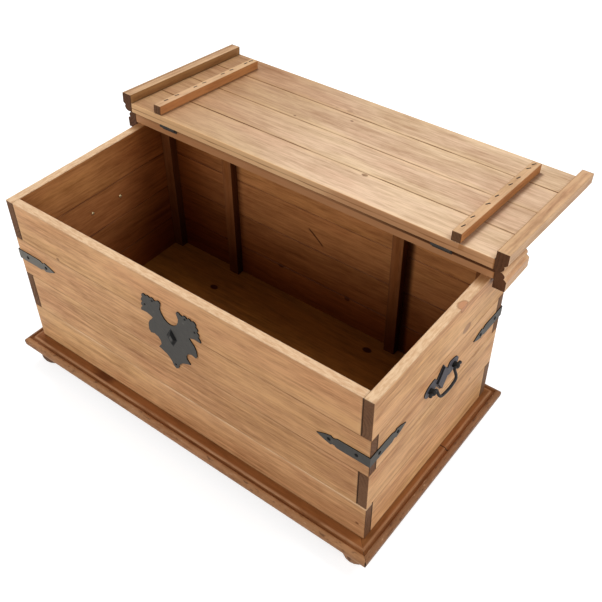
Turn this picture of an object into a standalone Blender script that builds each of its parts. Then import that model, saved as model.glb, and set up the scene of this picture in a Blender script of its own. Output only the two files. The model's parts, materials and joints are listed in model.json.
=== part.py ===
"""A pine storage trunk: boarded walls, a two-part hinged lid, a moulded plinth and black ironwork.

Units are metres, with +Z up. The trunk is long in X and its front faces -Y. The pieces are laid out in the
box's own frame, with y = 0 on the front of the box and z = 0 on the ground, and one empty then centres them.
The lid leaf is laid out closed, under an empty on the hinge axis that turns it right back.
"""

import math

import bmesh
import bpy
from mathutils import Matrix, Vector

# Clearances: between pieces that touch, round a turning pin, and the merge distance of a weld
GAP = 0.0003
PIVOT_CLEARANCE = 0.0004
WELD = 0.00001

# Box
BOX_LENGTH = 0.920
BOX_DEPTH = 0.470
WALL_THICKNESS = 0.020
COURSE_COUNT = 4
COURSE_HEIGHT = 0.0975
FLOOR_THICKNESS = 0.0155
EDGE_EASE = 0.001
BACK_BATTEN_WIDTH = 0.028
BACK_BATTEN_THICKNESS = 0.020
BACK_BATTEN_SHARE = 0.53
BACK_BATTEN_TOP_DROP = 0.003

# Plinth: a moulded frame with a rounded nose and a groove behind it
PLINTH_HEIGHT = 0.025
PLINTH_WIDTH = 0.075
PLINTH_FRONT_OVERHANG = 0.0372
PLINTH_SIDE_OVERHANG = 0.030
PLINTH_BACK_OVERHANG = 0.0292
NOSE_WIDTH = 0.0095
NOSE_TOP_DROP = 0.002
NOSE_DROP = 0.011
NOSE_UNDERCUT = 0.003
GROOVE_WIDTH = 0.0085
GROOVE_DEPTH = 0.005

# Feet: turned buns with a spigot that plugs into the plinth
FOOT_HEIGHT = 0.046
FOOT_RADIUS = 0.033
FOOT_NECK_RADIUS = 0.025
FOOT_PAD_RADIUS = 0.022
FOOT_BELLY_HEIGHT = 0.022
FOOT_INSET = 0.045
SPIGOT_RADIUS = 0.006
SPIGOT_LENGTH = 0.012

# Lid: a fixed rear strip, a hinged leaf of boards, and moulded rails on the ends of both
LID_THICKNESS = 0.022
LID_END_OVERHANG = 0.006
STRIP_DEPTH = 0.0945
STRIP_BACK_OVERHANG = 0.008
LEAF_FRONT_OVERHANG = 0.001
LEAF_BOARD_COUNT = 4
LEAF_BOARD_WIDTH = 0.0975
RAIL_WIDTH = 0.0255
RAIL_CROWN_WIDTH = 0.0125
RAIL_FACE_HEIGHT = 0.022
RAIL_DROP = 0.0186

# The rail's moulding between face and crown, as shares of the way in and of the way up
RAIL_MOULDING = (
    (0.23, 0.16),
    (0.45, 0.25),
    (0.54, 0.32),
    (0.43, 0.38),
    (0.38, 0.52),
    (0.42, 0.67),
    (0.59, 0.83),
    (0.80, 0.94),
)

# Battens under the leaf
LID_BATTEN_WIDTH = 0.0204
LID_BATTEN_HEIGHT = 0.0209
LID_BATTEN_END_INSET = 0.0468
LID_BATTEN_FRONT_INSET = 0.018
LID_BATTEN_BACK_INSET = 0.001

# Hinges: a fixed plate on the front edge of the strip, a flap on top of the leaf, and a pin
HINGE_END_INSET = 0.1105
HINGE_LENGTH = 0.043
HINGE_SHEET = 0.0012
KNUCKLE_RADIUS = 0.0037
KNUCKLE_SETBACK = 0.0008
KNUCKLE_SHARE = 1 / 3
PIN_RADIUS = 0.0017
PIN_PROUD = 0.001
FLAP_REACH = 0.024
HINGE_PLATE_DROP = 0.0065
SEAM_CLEARANCE = 0.0005

# Corner straps: how far under the top of the walls each is nailed, by hand and so not all alike
STRAP_THICKNESS = 0.0016
STRAP_DROPS = {
    "front_left": 0.1415,
    "front_right": 0.152,
    "back_right": 0.146,
    "back_left": 0.146,
}

# Half of a strap arm's outline, as distance along the arm and half height, and its nails along the arm
STRAP_OUTLINE = (
    (0.068, 0.0125),
    (0.074, 0.0085),
    (0.078, 0.0085),
    (0.082, 0.012),
    (0.096, 0.0076),
    (0.113, 0.0),
)
STRAP_NAILS = (0.027, 0.086)
NAIL_RADIUS = 0.004
NAIL_HEIGHT = 0.002

# Lock plate: half its outline, as distance from its middle line and height from the top of the walls
LOCK_THICKNESS = 0.002
LOCK_OUTLINE = (
    (0.0, -0.0925),
    (0.008, -0.0905),
    (0.016, -0.0845),
    (0.022, -0.074),
    (0.0245, -0.064),
    (0.022, -0.056),
    (0.0205, -0.0485),
    (0.0235, -0.0452),
    (0.0285, -0.0453),
    (0.0325, -0.0490),
    (0.0365, -0.0496),
    (0.0395, -0.0458),
    (0.0445, -0.0455),
    (0.0480, -0.0494),
    (0.0515, -0.0463),
    (0.0560, -0.0461),
    (0.0592, -0.0498),
    (0.0630, -0.0462),
    (0.0680, -0.0480),
    (0.0706, -0.0535),
    (0.0688, -0.0588),
    (0.0732, -0.0620),
    (0.0738, -0.0668),
    (0.0702, -0.0705),
    (0.0748, -0.0745),
    (0.0756, -0.0792),
    (0.0724, -0.0828),
    (0.0774, -0.0888),
    (0.0780, -0.0950),
    (0.062, -0.0935),
    (0.0475, -0.099),
    (0.052, -0.1065),
    (0.059, -0.114),
    (0.063, -0.124),
    (0.064, -0.140),
    (0.060, -0.1465),
    (0.050, -0.143),
    (0.040, -0.1465),
    (0.034, -0.1555),
    (0.034, -0.164),
    (0.0425, -0.1755),
    (0.031, -0.180),
    (0.022, -0.184),
    (0.015, -0.190),
    (0.0095, -0.198),
    (0.0065, -0.207),
    (0.0, -0.2125),
)
LOCK_BOSS_WIDTH = 0.024
LOCK_BOSS_HEIGHT = 0.042
LOCK_BOSS_PROUD = 0.004
LOCK_BOSS_DROP = 0.126
LOCK_BOSS_TOP_SHARE = 0.6

# Drop handles: a quarter of the plate's outline, two eye bolts and a bail
HANDLE_DROP = 0.140
HANDLE_PLATE_THICKNESS = 0.0016
HANDLE_PLATE_OUTLINE = (
    (0.0615, 0.0),
    (0.0595, 0.0065),
    (0.054, 0.0125),
    (0.043, 0.0165),
    (0.032, 0.0185),
    (0.026, 0.0175),
    (0.0195, 0.008),
    (0.0, 0.033),
)
HANDLE_BOSS_WIDTH = 0.042
HANDLE_BOSS_HEIGHT = 0.062
HANDLE_BOSS_PROUD = 0.0038
HANDLE_BOSS_TOP_SHARE = 0.92
POST_SPREAD = 0.086
POST_RADIUS = 0.0065
POST_DOME = 0.0055
EYE_STANDOFF = 0.0093
SHANK_RADIUS = 0.003
CLENCH_RADIUS = 0.0042
CLENCH_HEIGHT = 0.0025
BAIL_RADIUS = 0.003
BAIL_DROP = 0.021
BAIL_ELBOW = 0.004
BAIL_CORNER = 0.010
BAIL_BOW_TURN = 10
BAIL_BALL_RADIUS = 0.0038
BAIL_BALL_CAP = 15
BAIL_HANG_ANGLE = math.radians(25)

# Facets of the round shapes, and the angle up to which their edges are shaded smooth
FOOT_STEPS = 20
POST_STEPS = 16
KNUCKLE_STEPS = 16
NAIL_STEPS = 10
ARC_STEPS = 6
SMOOTH_ANGLE = math.radians(35)

# Heights, from the ground up
PLINTH_BOTTOM = FOOT_HEIGHT + GAP
PLINTH_TOP = PLINTH_BOTTOM + PLINTH_HEIGHT
WALL_BOTTOM = PLINTH_TOP + GAP
WALL_TOP = WALL_BOTTOM + COURSE_COUNT * COURSE_HEIGHT + (COURSE_COUNT - 1) * GAP
FLOOR_TOP = WALL_BOTTOM + FLOOR_THICKNESS
LID_BOTTOM = WALL_TOP + GAP
LID_TOP = LID_BOTTOM + LID_THICKNESS
HANDLE_HEIGHT = WALL_TOP - HANDLE_DROP

# Faces of the box and the plinth
BOX_END = BOX_LENGTH / 2
INNER_END = BOX_END - WALL_THICKNESS
INNER_BACK = BOX_DEPTH - WALL_THICKNESS
PLINTH_END = BOX_END + PLINTH_SIDE_OVERHANG
PLINTH_FRONT = -PLINTH_FRONT_OVERHANG
PLINTH_BACK = BOX_DEPTH + PLINTH_BACK_OVERHANG

# Lid and hinge axis
PLANK_END = BOX_END + LID_END_OVERHANG
STRIP_BACK = BOX_DEPTH + STRIP_BACK_OVERHANG
STRIP_FRONT = STRIP_BACK - STRIP_DEPTH
LEAF_FRONT = -LEAF_FRONT_OVERHANG
LEAF_BACK = STRIP_FRONT - GAP - HINGE_SHEET - SEAM_CLEARANCE
HINGE_MIDDLE = PLANK_END - HINGE_END_INSET
LID_BATTEN_MIDDLE = INNER_END - LID_BATTEN_END_INSET - LID_BATTEN_WIDTH / 2
RAIL_BOTTOM = WALL_TOP - RAIL_DROP
AXIS_SETBACK = KNUCKLE_RADIUS + KNUCKLE_SETBACK + HINGE_SHEET + GAP
AXIS_RISE = KNUCKLE_RADIUS + GAP
AXIS_Y = STRIP_FRONT - AXIS_SETBACK
AXIS_Z = LID_TOP + AXIS_RISE

# The open leaf tips past flat until its upper face comes down on the back edge of the strip
STRIP_REACH = STRIP_BACK - AXIS_Y
OPEN_TILT = math.atan2(AXIS_RISE, STRIP_REACH) + math.asin(
    (AXIS_RISE - GAP) / math.hypot(AXIS_RISE, STRIP_REACH)
)
OPEN_ANGLE = math.pi + OPEN_TILT

# The foot of the leaf's rails is then the rearmost point, and the trunk is centred between it and the nose
OPEN_BACK = (
    AXIS_Y
    + (AXIS_Y - LEAF_FRONT) * math.cos(OPEN_TILT)
    + (AXIS_Z - RAIL_BOTTOM) * math.sin(OPEN_TILT)
)
Y_CENTRE = (PLINTH_FRONT + OPEN_BACK) / 2

# Ironwork
HANDLE_PLATE_TOP = GAP + HANDLE_PLATE_THICKNESS
EYE_RADIUS = BAIL_RADIUS + PIVOT_CLEARANCE
BAIL_HALF_WIDTH = POST_SPREAD / 2 - POST_RADIUS - PIVOT_CLEARANCE - BAIL_ELBOW
BALL_MIDDLE = POST_SPREAD / 2 + POST_RADIUS + PIVOT_CLEARANCE + BAIL_BALL_RADIUS

for left_over in list(bpy.data.objects):
    bpy.data.objects.remove(left_over)


def collection(name):
    made = bpy.data.collections.new(name)
    bpy.context.scene.collection.children.link(made)
    return made


TRUNK = collection("storage_trunk")
CUTTERS = collection("cutters")


def empty(name, location, parent=None):
    made = bpy.data.objects.new(name, None)
    TRUNK.objects.link(made)
    made.location = location
    made.parent = parent
    return made


ROOT = empty("trunk_centre", (0, -Y_CENTRE, 0))
LID_PIVOT = empty("lid_pivot", (0, AXIS_Y, AXIS_Z), ROOT)


def material(name, colour, roughness, metallic=0.0):
    made = bpy.data.materials.new(name)
    made.use_nodes = True
    made.diffuse_color = (*colour, 1)
    shader = made.node_tree.nodes["Principled BSDF"]
    shader.inputs["Base Color"].default_value = (*colour, 1)
    shader.inputs["Roughness"].default_value = roughness
    shader.inputs["Metallic"].default_value = metallic
    return made


WALL_PINE = material("wall_pine", (0.52, 0.27, 0.13), 0.5)
FLOOR_PINE = material("floor_pine", (0.28, 0.14, 0.06), 0.6)
BATTEN_PINE = material("batten_pine", (0.36, 0.17, 0.07), 0.55)
PLINTH_PINE = material("plinth_pine", (0.25, 0.10, 0.04), 0.45)
FOOT_PINE = material("foot_pine", (0.25, 0.11, 0.05), 0.45)
LID_PINE = material("lid_pine", (0.60, 0.36, 0.18), 0.5)
RAIL_PINE = material("rail_pine", (0.42, 0.21, 0.09), 0.5)
STRAP_IRON = material("strap_iron", (0.055, 0.055, 0.052), 0.5, 0.8)
LOCK_IRON = material("lock_iron", (0.06, 0.058, 0.055), 0.5, 0.8)
HANDLE_IRON = material("handle_iron", (0.05, 0.05, 0.052), 0.45, 0.8)
HINGE_IRON = material("hinge_iron", (0.05, 0.045, 0.04), 0.5, 0.8)
PIN_STEEL = material("pin_steel", (0.25, 0.24, 0.22), 0.4, 1.0)


def add(name, mesh, finish, location=(0, 0, 0), rotation=(0, 0, 0), parent=ROOT):
    """Adds a part. Its place is given in the box's frame, also when its parent is a pivot."""
    part = bpy.data.objects.new(name, mesh)
    TRUNK.objects.link(part)
    if not mesh.materials:
        mesh.materials.append(finish)
    part.location = location
    part.rotation_euler = rotation
    part.parent = parent
    if parent is not ROOT:
        part.matrix_parent_inverse = Matrix.Translation(-parent.location)
    return part


def add_cutter(name, mesh, location, rotation=(0, 0, 0)):
    cutter = bpy.data.objects.new(name, mesh)
    CUTTERS.objects.link(cutter)
    cutter.location = location
    cutter.rotation_euler = rotation
    cutter.parent = ROOT
    cutter.hide_render = True
    cutter.display_type = "WIRE"
    return cutter


def cut(part, cutter):
    boolean = part.modifiers.new(cutter.name, "BOOLEAN")
    boolean.operation = "DIFFERENCE"
    boolean.object = cutter


def mesh_of(name, shape):
    mesh = bpy.data.meshes.new(name)
    shape.to_mesh(mesh)
    shape.free()
    return mesh


def round_shading(mesh):
    mesh.shade_smooth()
    mesh.set_sharp_from_angle(angle=SMOOTH_ANGLE)
    return mesh


def baked(holder):
    """The evaluated mesh of a helper object, with loose cap edges welded. The helper is removed."""
    graph = bpy.context.evaluated_depsgraph_get()
    mesh = bpy.data.meshes.new_from_object(holder.evaluated_get(graph))
    shape = bmesh.new()
    shape.from_mesh(mesh)
    bmesh.ops.remove_doubles(shape, verts=shape.verts, dist=WELD)
    bmesh.ops.recalc_face_normals(shape, faces=shape.faces)
    shape.to_mesh(mesh)
    shape.free()
    bpy.data.objects.remove(holder)
    return mesh


def helper(name, data):
    made = bpy.data.objects.new(name, data)
    CUTTERS.objects.link(made)
    return made


def box_mesh(name, low, high):
    shape = bmesh.new()
    bmesh.ops.create_cube(shape, size=1)
    bmesh.ops.scale(shape, vec=Vector(high) - Vector(low), verts=shape.verts)
    bmesh.ops.translate(shape, vec=(Vector(high) + Vector(low)) / 2, verts=shape.verts)
    return mesh_of(name, shape)


def rod_mesh(name, radius, length, steps):
    """A round bar along Z, about its middle."""
    shape = bmesh.new()
    bmesh.ops.create_cone(
        shape, cap_ends=True, segments=steps, radius1=radius, radius2=radius, depth=length
    )
    return round_shading(mesh_of(name, shape))


def diamond_mesh(name, width, height, proud, sunk, top_share):
    """A low four-sided boss on the plane z = 0, sunk under it so far."""
    shape = bmesh.new()
    bmesh.ops.create_cone(
        shape, cap_ends=True, segments=4, radius1=0.5, radius2=0.5 * top_share, depth=proud + sunk
    )
    bmesh.ops.scale(shape, vec=(width, height, 1), verts=shape.verts)
    bmesh.ops.translate(shape, vec=(0, 0, (proud - sunk) / 2), verts=shape.verts)
    return mesh_of(name, shape)


def nail_mesh(name, along, thickness):
    """A domed nail head on a plate about z = 0, sunk to the middle of the plate."""
    shape = bmesh.new()
    bmesh.ops.create_uvsphere(shape, u_segments=NAIL_STEPS, v_segments=ARC_STEPS, radius=NAIL_RADIUS)
    for vertex in shape.verts:
        depth = NAIL_HEIGHT if vertex.co.z > 0 else thickness / 2
        vertex.co.z *= depth / NAIL_RADIUS
    bmesh.ops.translate(shape, vec=(along, 0, thickness / 2), verts=shape.verts)
    return mesh_of(name, shape)


def turned_mesh(name, profile, steps):
    """A turned piece. The profile, as radius and height, runs from the top down its outer side."""
    mesh = bpy.data.meshes.new(name)
    edges = [(index, index + 1) for index in range(len(profile) - 1)]
    mesh.from_pydata([(radius, 0, height) for radius, height in profile], edges, [])
    holder = helper(name, mesh)
    screw = holder.modifiers.new("Turn", "SCREW")
    screw.steps = steps
    screw.render_steps = steps
    screw.use_merge_vertices = True
    screw.merge_threshold = WELD
    return round_shading(baked(holder))


def plate_mesh(name, thickness, outline, hole=()):
    """A flat plate of an outline in XY, about z = 0, with or without a hole."""
    curve = bpy.data.curves.new(name, "CURVE")
    curve.dimensions = "2D"
    curve.fill_mode = "BOTH"
    curve.extrude = thickness / 2
    for ring in filter(None, (outline, hole)):
        spline = curve.splines.new("POLY")
        spline.points.add(len(ring) - 1)
        spline.use_cyclic_u = True
        for point, (x, y) in zip(spline.points, ring):
            point.co = (x, y, 0, 1)
    return baked(helper(name, curve))


def combined(name, base, tools, operation):
    """The base mesh with each tool mesh joined to it or cut from it."""
    holder = helper(name, base)
    helpers = []
    for tool in tools:
        helpers.append(helper(tool.name, tool))
        boolean = holder.modifiers.new(tool.name, "BOOLEAN")
        boolean.operation = operation
        boolean.object = helpers[-1]
    mesh = baked(holder)
    for tool in helpers:
        bpy.data.objects.remove(tool)
    return mesh


def arc(centre, radii, start, end, steps=ARC_STEPS):
    """Points on an ellipse from one angle to another, in degrees, both ends included."""
    angles = [math.radians(start + (end - start) * step / steps) for step in range(steps + 1)]
    return [
        (centre[0] + radii[0] * math.cos(angle), centre[1] + radii[1] * math.sin(angle))
        for angle in angles
    ]


def board(name, x, y, z, finish, parent=ROOT):
    """A board between two values on each axis, with its edges eased."""
    middle = Vector((sum(x), sum(y), sum(z))) / 2
    half = Vector((x[1] - x[0], y[1] - y[0], z[1] - z[0])) / 2
    part = add(name, box_mesh(name, -half, half), finish, middle, parent=parent)
    bevel = part.modifiers.new("Ease", "BEVEL")
    bevel.width = EDGE_EASE
    bevel.segments = 1
    return part


def facing(heading):
    """Turns a plate drawn in XY to stand upright on a wall: heading 0 is the front, 90 the right side."""
    return (math.pi / 2, 0, math.radians(heading))


def build_walls():
    """Four courses of boards. The ends of the front and side boards take turns at running through."""
    bolt_holes = []
    for end, side in ((-BOX_END, "left"), (BOX_END, "right")):
        for y, place in handle_post_places():
            shaft = rod_mesh("bolt_hole", SHANK_RADIUS + GAP, 4 * WALL_THICKNESS, POST_STEPS)
            bolt_holes.append(
                add_cutter(f"bolt_hole_{side}_{place}", shaft, (end, y, HANDLE_HEIGHT), facing(90))
            )
    for course in range(1, COURSE_COUNT + 1):
        top = WALL_TOP - (course - 1) * (COURSE_HEIGHT + GAP)
        z = (top - COURSE_HEIGHT, top)
        sides_run_through = course % 2 == 1
        reach = INNER_END - GAP if sides_run_through else BOX_END
        for wall, y in (("front", (0, WALL_THICKNESS)), ("back", (INNER_BACK, BOX_DEPTH))):
            board(f"{wall}_board_{course}", (-reach, reach), y, z, WALL_PINE)
        inset = 0 if sides_run_through else WALL_THICKNESS + GAP
        for side, x in (("left", (-BOX_END, -INNER_END)), ("right", (INNER_END, BOX_END))):
            part = board(f"{side}_board_{course}", x, (inset, BOX_DEPTH - inset), z, WALL_PINE)
            for hole in bolt_holes:
                beside = side in hole.name
                if beside and z[0] - SHANK_RADIUS < HANDLE_HEIGHT < z[1] + SHANK_RADIUS:
                    cut(part, hole)


def build_inside():
    """The floor, and the upright battens that tie the boards of the back wall."""
    end = INNER_END - GAP
    board(
        "floor_panel",
        (-end, end),
        (WALL_THICKNESS + GAP, INNER_BACK - GAP),
        (WALL_BOTTOM, FLOOR_TOP),
        FLOOR_PINE,
    )
    corner = end - BACK_BATTEN_WIDTH / 2
    between = BACK_BATTEN_SHARE * INNER_END
    places = (-corner, -between, between, corner)
    for number, middle in enumerate(places, 1):
        board(
            f"back_batten_{number}",
            (middle - BACK_BATTEN_WIDTH / 2, middle + BACK_BATTEN_WIDTH / 2),
            (INNER_BACK - GAP - BACK_BATTEN_THICKNESS, INNER_BACK - GAP),
            (FLOOR_TOP + GAP, WALL_TOP - BACK_BATTEN_TOP_DROP),
            BATTEN_PINE,
        )


def plinth_profile():
    """The plinth's section, as distance in from the nose and height from its top."""
    groove_middle = NOSE_WIDTH + GROOVE_WIDTH / 2
    groove_lip = 180 + math.degrees(math.asin(NOSE_TOP_DROP / GROOVE_DEPTH))
    section = [(PLINTH_WIDTH, -PLINTH_HEIGHT), (PLINTH_WIDTH, 0)]
    section += arc((groove_middle, 0), (GROOVE_WIDTH / 2, GROOVE_DEPTH), 360, groove_lip)
    section += arc((NOSE_WIDTH, -NOSE_DROP), (NOSE_WIDTH, NOSE_DROP - NOSE_TOP_DROP), 90, 180)
    underside = (NOSE_UNDERCUT, PLINTH_HEIGHT - NOSE_DROP)
    section += arc((NOSE_UNDERCUT, -NOSE_DROP), underside, 180, 270)[1:]
    return section


def build_plinth():
    middle = (PLINTH_FRONT + PLINTH_BACK) / 2
    depth = PLINTH_BACK - PLINTH_FRONT
    pieces = (
        ("plinth_front", 2 * PLINTH_END, (0, PLINTH_FRONT, PLINTH_TOP), 90),
        ("plinth_right", depth, (PLINTH_END, middle, PLINTH_TOP), 180),
        ("plinth_back", 2 * PLINTH_END, (0, PLINTH_BACK, PLINTH_TOP), 270),
        ("plinth_left", depth, (-PLINTH_END, middle, PLINTH_TOP), 0),
    )
    sockets = [
        add_cutter(
            f"socket_{name}",
            rod_mesh("socket", SPIGOT_RADIUS + GAP, 2 * (SPIGOT_LENGTH + GAP), POST_STEPS),
            (*place, PLINTH_BOTTOM),
        )
        for name, place in foot_places()
    ]
    for name, length, place, heading in pieces:
        mesh = plate_mesh(name, length, plinth_profile())
        for vertex in mesh.vertices:
            mitre = length / 2 - vertex.co.x - GAP
            vertex.co.z = math.copysign(mitre, vertex.co.z)
        part = add(name, round_shading(mesh), PLINTH_PINE, place, facing(heading))
        for socket in sockets:
            if any(word in socket.name for word in name.split("_")[1:]):
                cut(part, socket)


def foot_places():
    for row, y in (("front", PLINTH_FRONT + FOOT_INSET), ("back", PLINTH_BACK - FOOT_INSET)):
        for side, x in (("left", FOOT_INSET - PLINTH_END), ("right", PLINTH_END - FOOT_INSET)):
            yield f"{row}_{side}", (x, y)


def build_feet():
    belly = FOOT_RADIUS - FOOT_NECK_RADIUS
    sole = FOOT_RADIUS - FOOT_PAD_RADIUS
    profile = [(0, FOOT_HEIGHT + SPIGOT_LENGTH), (SPIGOT_RADIUS, FOOT_HEIGHT + SPIGOT_LENGTH)]
    profile += [(SPIGOT_RADIUS, FOOT_HEIGHT)]
    shoulder = (belly, FOOT_HEIGHT - FOOT_BELLY_HEIGHT)
    profile += arc((FOOT_NECK_RADIUS, FOOT_BELLY_HEIGHT), shoulder, 90, 0)
    profile += arc((FOOT_PAD_RADIUS, FOOT_BELLY_HEIGHT), (sole, FOOT_BELLY_HEIGHT), 0, -90)[1:]
    profile += [(0, 0)]
    mesh = turned_mesh("foot", profile, FOOT_STEPS)
    for name, (x, y) in foot_places():
        add(f"foot_{name}", mesh, FOOT_PINE, (x, y, 0))


def rail_mesh(name, length):
    """An end rail: a plain lower face, then a sloped band, a quirk and a bead up to a narrow crown."""
    height = LID_TOP - RAIL_BOTTOM
    run = RAIL_WIDTH - RAIL_CROWN_WIDTH
    rise = height - RAIL_FACE_HEIGHT
    section = [(0, 0), (RAIL_WIDTH, 0), (RAIL_WIDTH, RAIL_FACE_HEIGHT)]
    section += [(RAIL_WIDTH - inset * run, RAIL_FACE_HEIGHT + up * rise) for inset, up in RAIL_MOULDING]
    section += [(RAIL_CROWN_WIDTH, height), (0, height)]
    return round_shading(plate_mesh(name, length, section))


def build_rails(prefix, y, parent):
    mesh = rail_mesh(prefix, y[1] - y[0])
    for side, end, heading in (("left", -PLANK_END - GAP, 180), ("right", PLANK_END + GAP, 0)):
        place = (end, sum(y) / 2, RAIL_BOTTOM)
        add(f"{prefix}_{side}", mesh, RAIL_PINE, place, facing(heading), parent)


def build_lid():
    across = (-PLANK_END, PLANK_END)
    up = (LID_BOTTOM, LID_TOP)
    board("rear_lid_board", across, (STRIP_FRONT, STRIP_BACK), up, LID_PINE)
    build_rails("rear_lid_rail", (STRIP_FRONT, STRIP_BACK), ROOT)
    for number in range(1, LEAF_BOARD_COUNT + 1):
        back = LEAF_BACK - (number - 1) * (LEAF_BOARD_WIDTH + GAP)
        front = LEAF_FRONT if number == LEAF_BOARD_COUNT else back - LEAF_BOARD_WIDTH
        board(f"lid_board_{number}", across, (front, back), up, LID_PINE, LID_PIVOT)
    build_rails("lid_rail", (LEAF_FRONT, LEAF_BACK), LID_PIVOT)
    for side, middle in (("left", -LID_BATTEN_MIDDLE), ("right", LID_BATTEN_MIDDLE)):
        board(
            f"lid_batten_{side}",
            (middle - LID_BATTEN_WIDTH / 2, middle + LID_BATTEN_WIDTH / 2),
            (WALL_THICKNESS + LID_BATTEN_FRONT_INSET, LEAF_BACK - LID_BATTEN_BACK_INSET),
            (LID_BOTTOM - GAP - LID_BATTEN_HEIGHT, LID_BOTTOM - GAP),
            BATTEN_PINE,
            LID_PIVOT,
        )


def knuckle_arc(start, end):
    return arc((0, 0), (KNUCKLE_RADIUS, KNUCKLE_RADIUS), start, end, KNUCKLE_STEPS)


def knuckle_bore():
    radius = PIN_RADIUS + GAP
    return arc((0, 0), (radius, radius), 0, 360, KNUCKLE_STEPS)[:-1]


def hinge_plate_mesh():
    """The fixed half: two knuckles, and a sheet that bends down the front edge of the strip."""
    face = AXIS_SETBACK - GAP
    half_sheet = HINGE_SHEET / 2
    root = math.degrees(math.asin(half_sheet / KNUCKLE_RADIUS))
    foot = -AXIS_RISE - HINGE_PLATE_DROP
    outline = [(face, half_sheet), (face, foot), (face - HINGE_SHEET, foot)]
    outline += [(face - HINGE_SHEET, -half_sheet)]
    outline += knuckle_arc(360 - root, root)
    sheet = plate_mesh("hinge_plate", HINGE_LENGTH, outline, knuckle_bore())
    half_slot = HINGE_LENGTH * KNUCKLE_SHARE / 2 + GAP
    clear = KNUCKLE_RADIUS + GAP
    slot = box_mesh("middle_slot", (-2 * clear, -clear, -half_slot), (clear, clear, half_slot))
    return round_shading(combined("hinge_plate", sheet, [slot], "DIFFERENCE"))


def hinge_flap_mesh():
    """The moving half: one knuckle, and a sheet along the top of the leaf."""
    sheet_top = HINGE_SHEET - KNUCKLE_RADIUS
    root = 180 - math.degrees(math.asin(sheet_top / KNUCKLE_RADIUS))
    outline = [(-FLAP_REACH, -KNUCKLE_RADIUS), (-FLAP_REACH, sheet_top)]
    outline += knuckle_arc(root, -90)
    sheet = plate_mesh("hinge_flap", HINGE_LENGTH, outline, knuckle_bore())
    half_knuckle = HINGE_LENGTH * KNUCKLE_SHARE / 2
    clear = KNUCKLE_RADIUS + GAP
    slots = [
        box_mesh("low_slot", (-clear, -2 * clear, -HINGE_LENGTH), (2 * clear, clear, -half_knuckle)),
        box_mesh("high_slot", (-clear, -2 * clear, half_knuckle), (2 * clear, clear, HINGE_LENGTH)),
    ]
    return round_shading(combined("hinge_flap", sheet, slots, "DIFFERENCE"))


def build_hinges():
    plate = hinge_plate_mesh()
    flap = hinge_flap_mesh()
    pin = rod_mesh("hinge_pin", PIN_RADIUS, HINGE_LENGTH + 2 * PIN_PROUD, KNUCKLE_STEPS)
    for side, middle in (("left", -HINGE_MIDDLE), ("right", HINGE_MIDDLE)):
        place = (middle, AXIS_Y, AXIS_Z)
        add(f"hinge_plate_{side}", plate, HINGE_IRON, place, facing(90))
        add(f"hinge_flap_{side}", flap, HINGE_IRON, place, facing(90), LID_PIVOT)
        add(f"hinge_pin_{side}", pin, PIN_STEEL, place, facing(90))


def strap_mesh():
    """A corner strap, for a corner at the origin with walls along +X and +Y."""
    edge = [(-GAP - 2 * STRAP_THICKNESS, STRAP_OUTLINE[0][1]), *STRAP_OUTLINE]
    outline = edge + [(along, -half_height) for along, half_height in reversed(edge[:-1])]
    arm = plate_mesh("strap_arm", STRAP_THICKNESS, outline)
    nails = [nail_mesh("strap_nail", along, STRAP_THICKNESS) for along in STRAP_NAILS]
    nailed = combined("strap", arm, nails, "UNION")
    nailed.transform(Matrix.Rotation(math.pi / 2, 4, "X"))
    nailed.transform(Matrix.Translation((0, -GAP - STRAP_THICKNESS / 2, 0)))
    holder = helper("strap", nailed)
    corner = helper("strap_corner", None)
    corner.rotation_euler.z = math.radians(-45)
    mirror = holder.modifiers.new("Other arm", "MIRROR")
    mirror.mirror_object = corner
    mirror.use_bisect_axis[0] = True
    mirror.merge_threshold = WELD
    mesh = baked(holder)
    bpy.data.objects.remove(corner)
    return mesh


def build_straps():
    mesh = strap_mesh()
    corners = (
        ("front_left", -BOX_END, 0, 0),
        ("front_right", BOX_END, 0, 90),
        ("back_right", BOX_END, BOX_DEPTH, 180),
        ("back_left", -BOX_END, BOX_DEPTH, 270),
    )
    for name, x, y, heading in corners:
        place = (x, y, WALL_TOP - STRAP_DROPS[name])
        add(f"strap_{name}", mesh, STRAP_IRON, place, (0, 0, math.radians(heading)))


def build_lock():
    mirrored = [(-across, up) for across, up in reversed(LOCK_OUTLINE[1:-1])]
    plate = plate_mesh("lock_plate", LOCK_THICKNESS, [*LOCK_OUTLINE, *mirrored])
    add("lock_plate", plate, LOCK_IRON, (0, -GAP - LOCK_THICKNESS / 2, WALL_TOP), facing(0))
    boss = diamond_mesh(
        "lock_boss", LOCK_BOSS_WIDTH, LOCK_BOSS_HEIGHT, LOCK_BOSS_PROUD, 0, LOCK_BOSS_TOP_SHARE
    )
    place = (0, -2 * GAP - LOCK_THICKNESS, WALL_TOP - LOCK_BOSS_DROP)
    add("lock_boss", boss, LOCK_IRON, place, facing(0))


def handle_post_places():
    middle = BOX_DEPTH / 2
    return ((middle - POST_SPREAD / 2, "front"), (middle + POST_SPREAD / 2, "back"))


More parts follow.
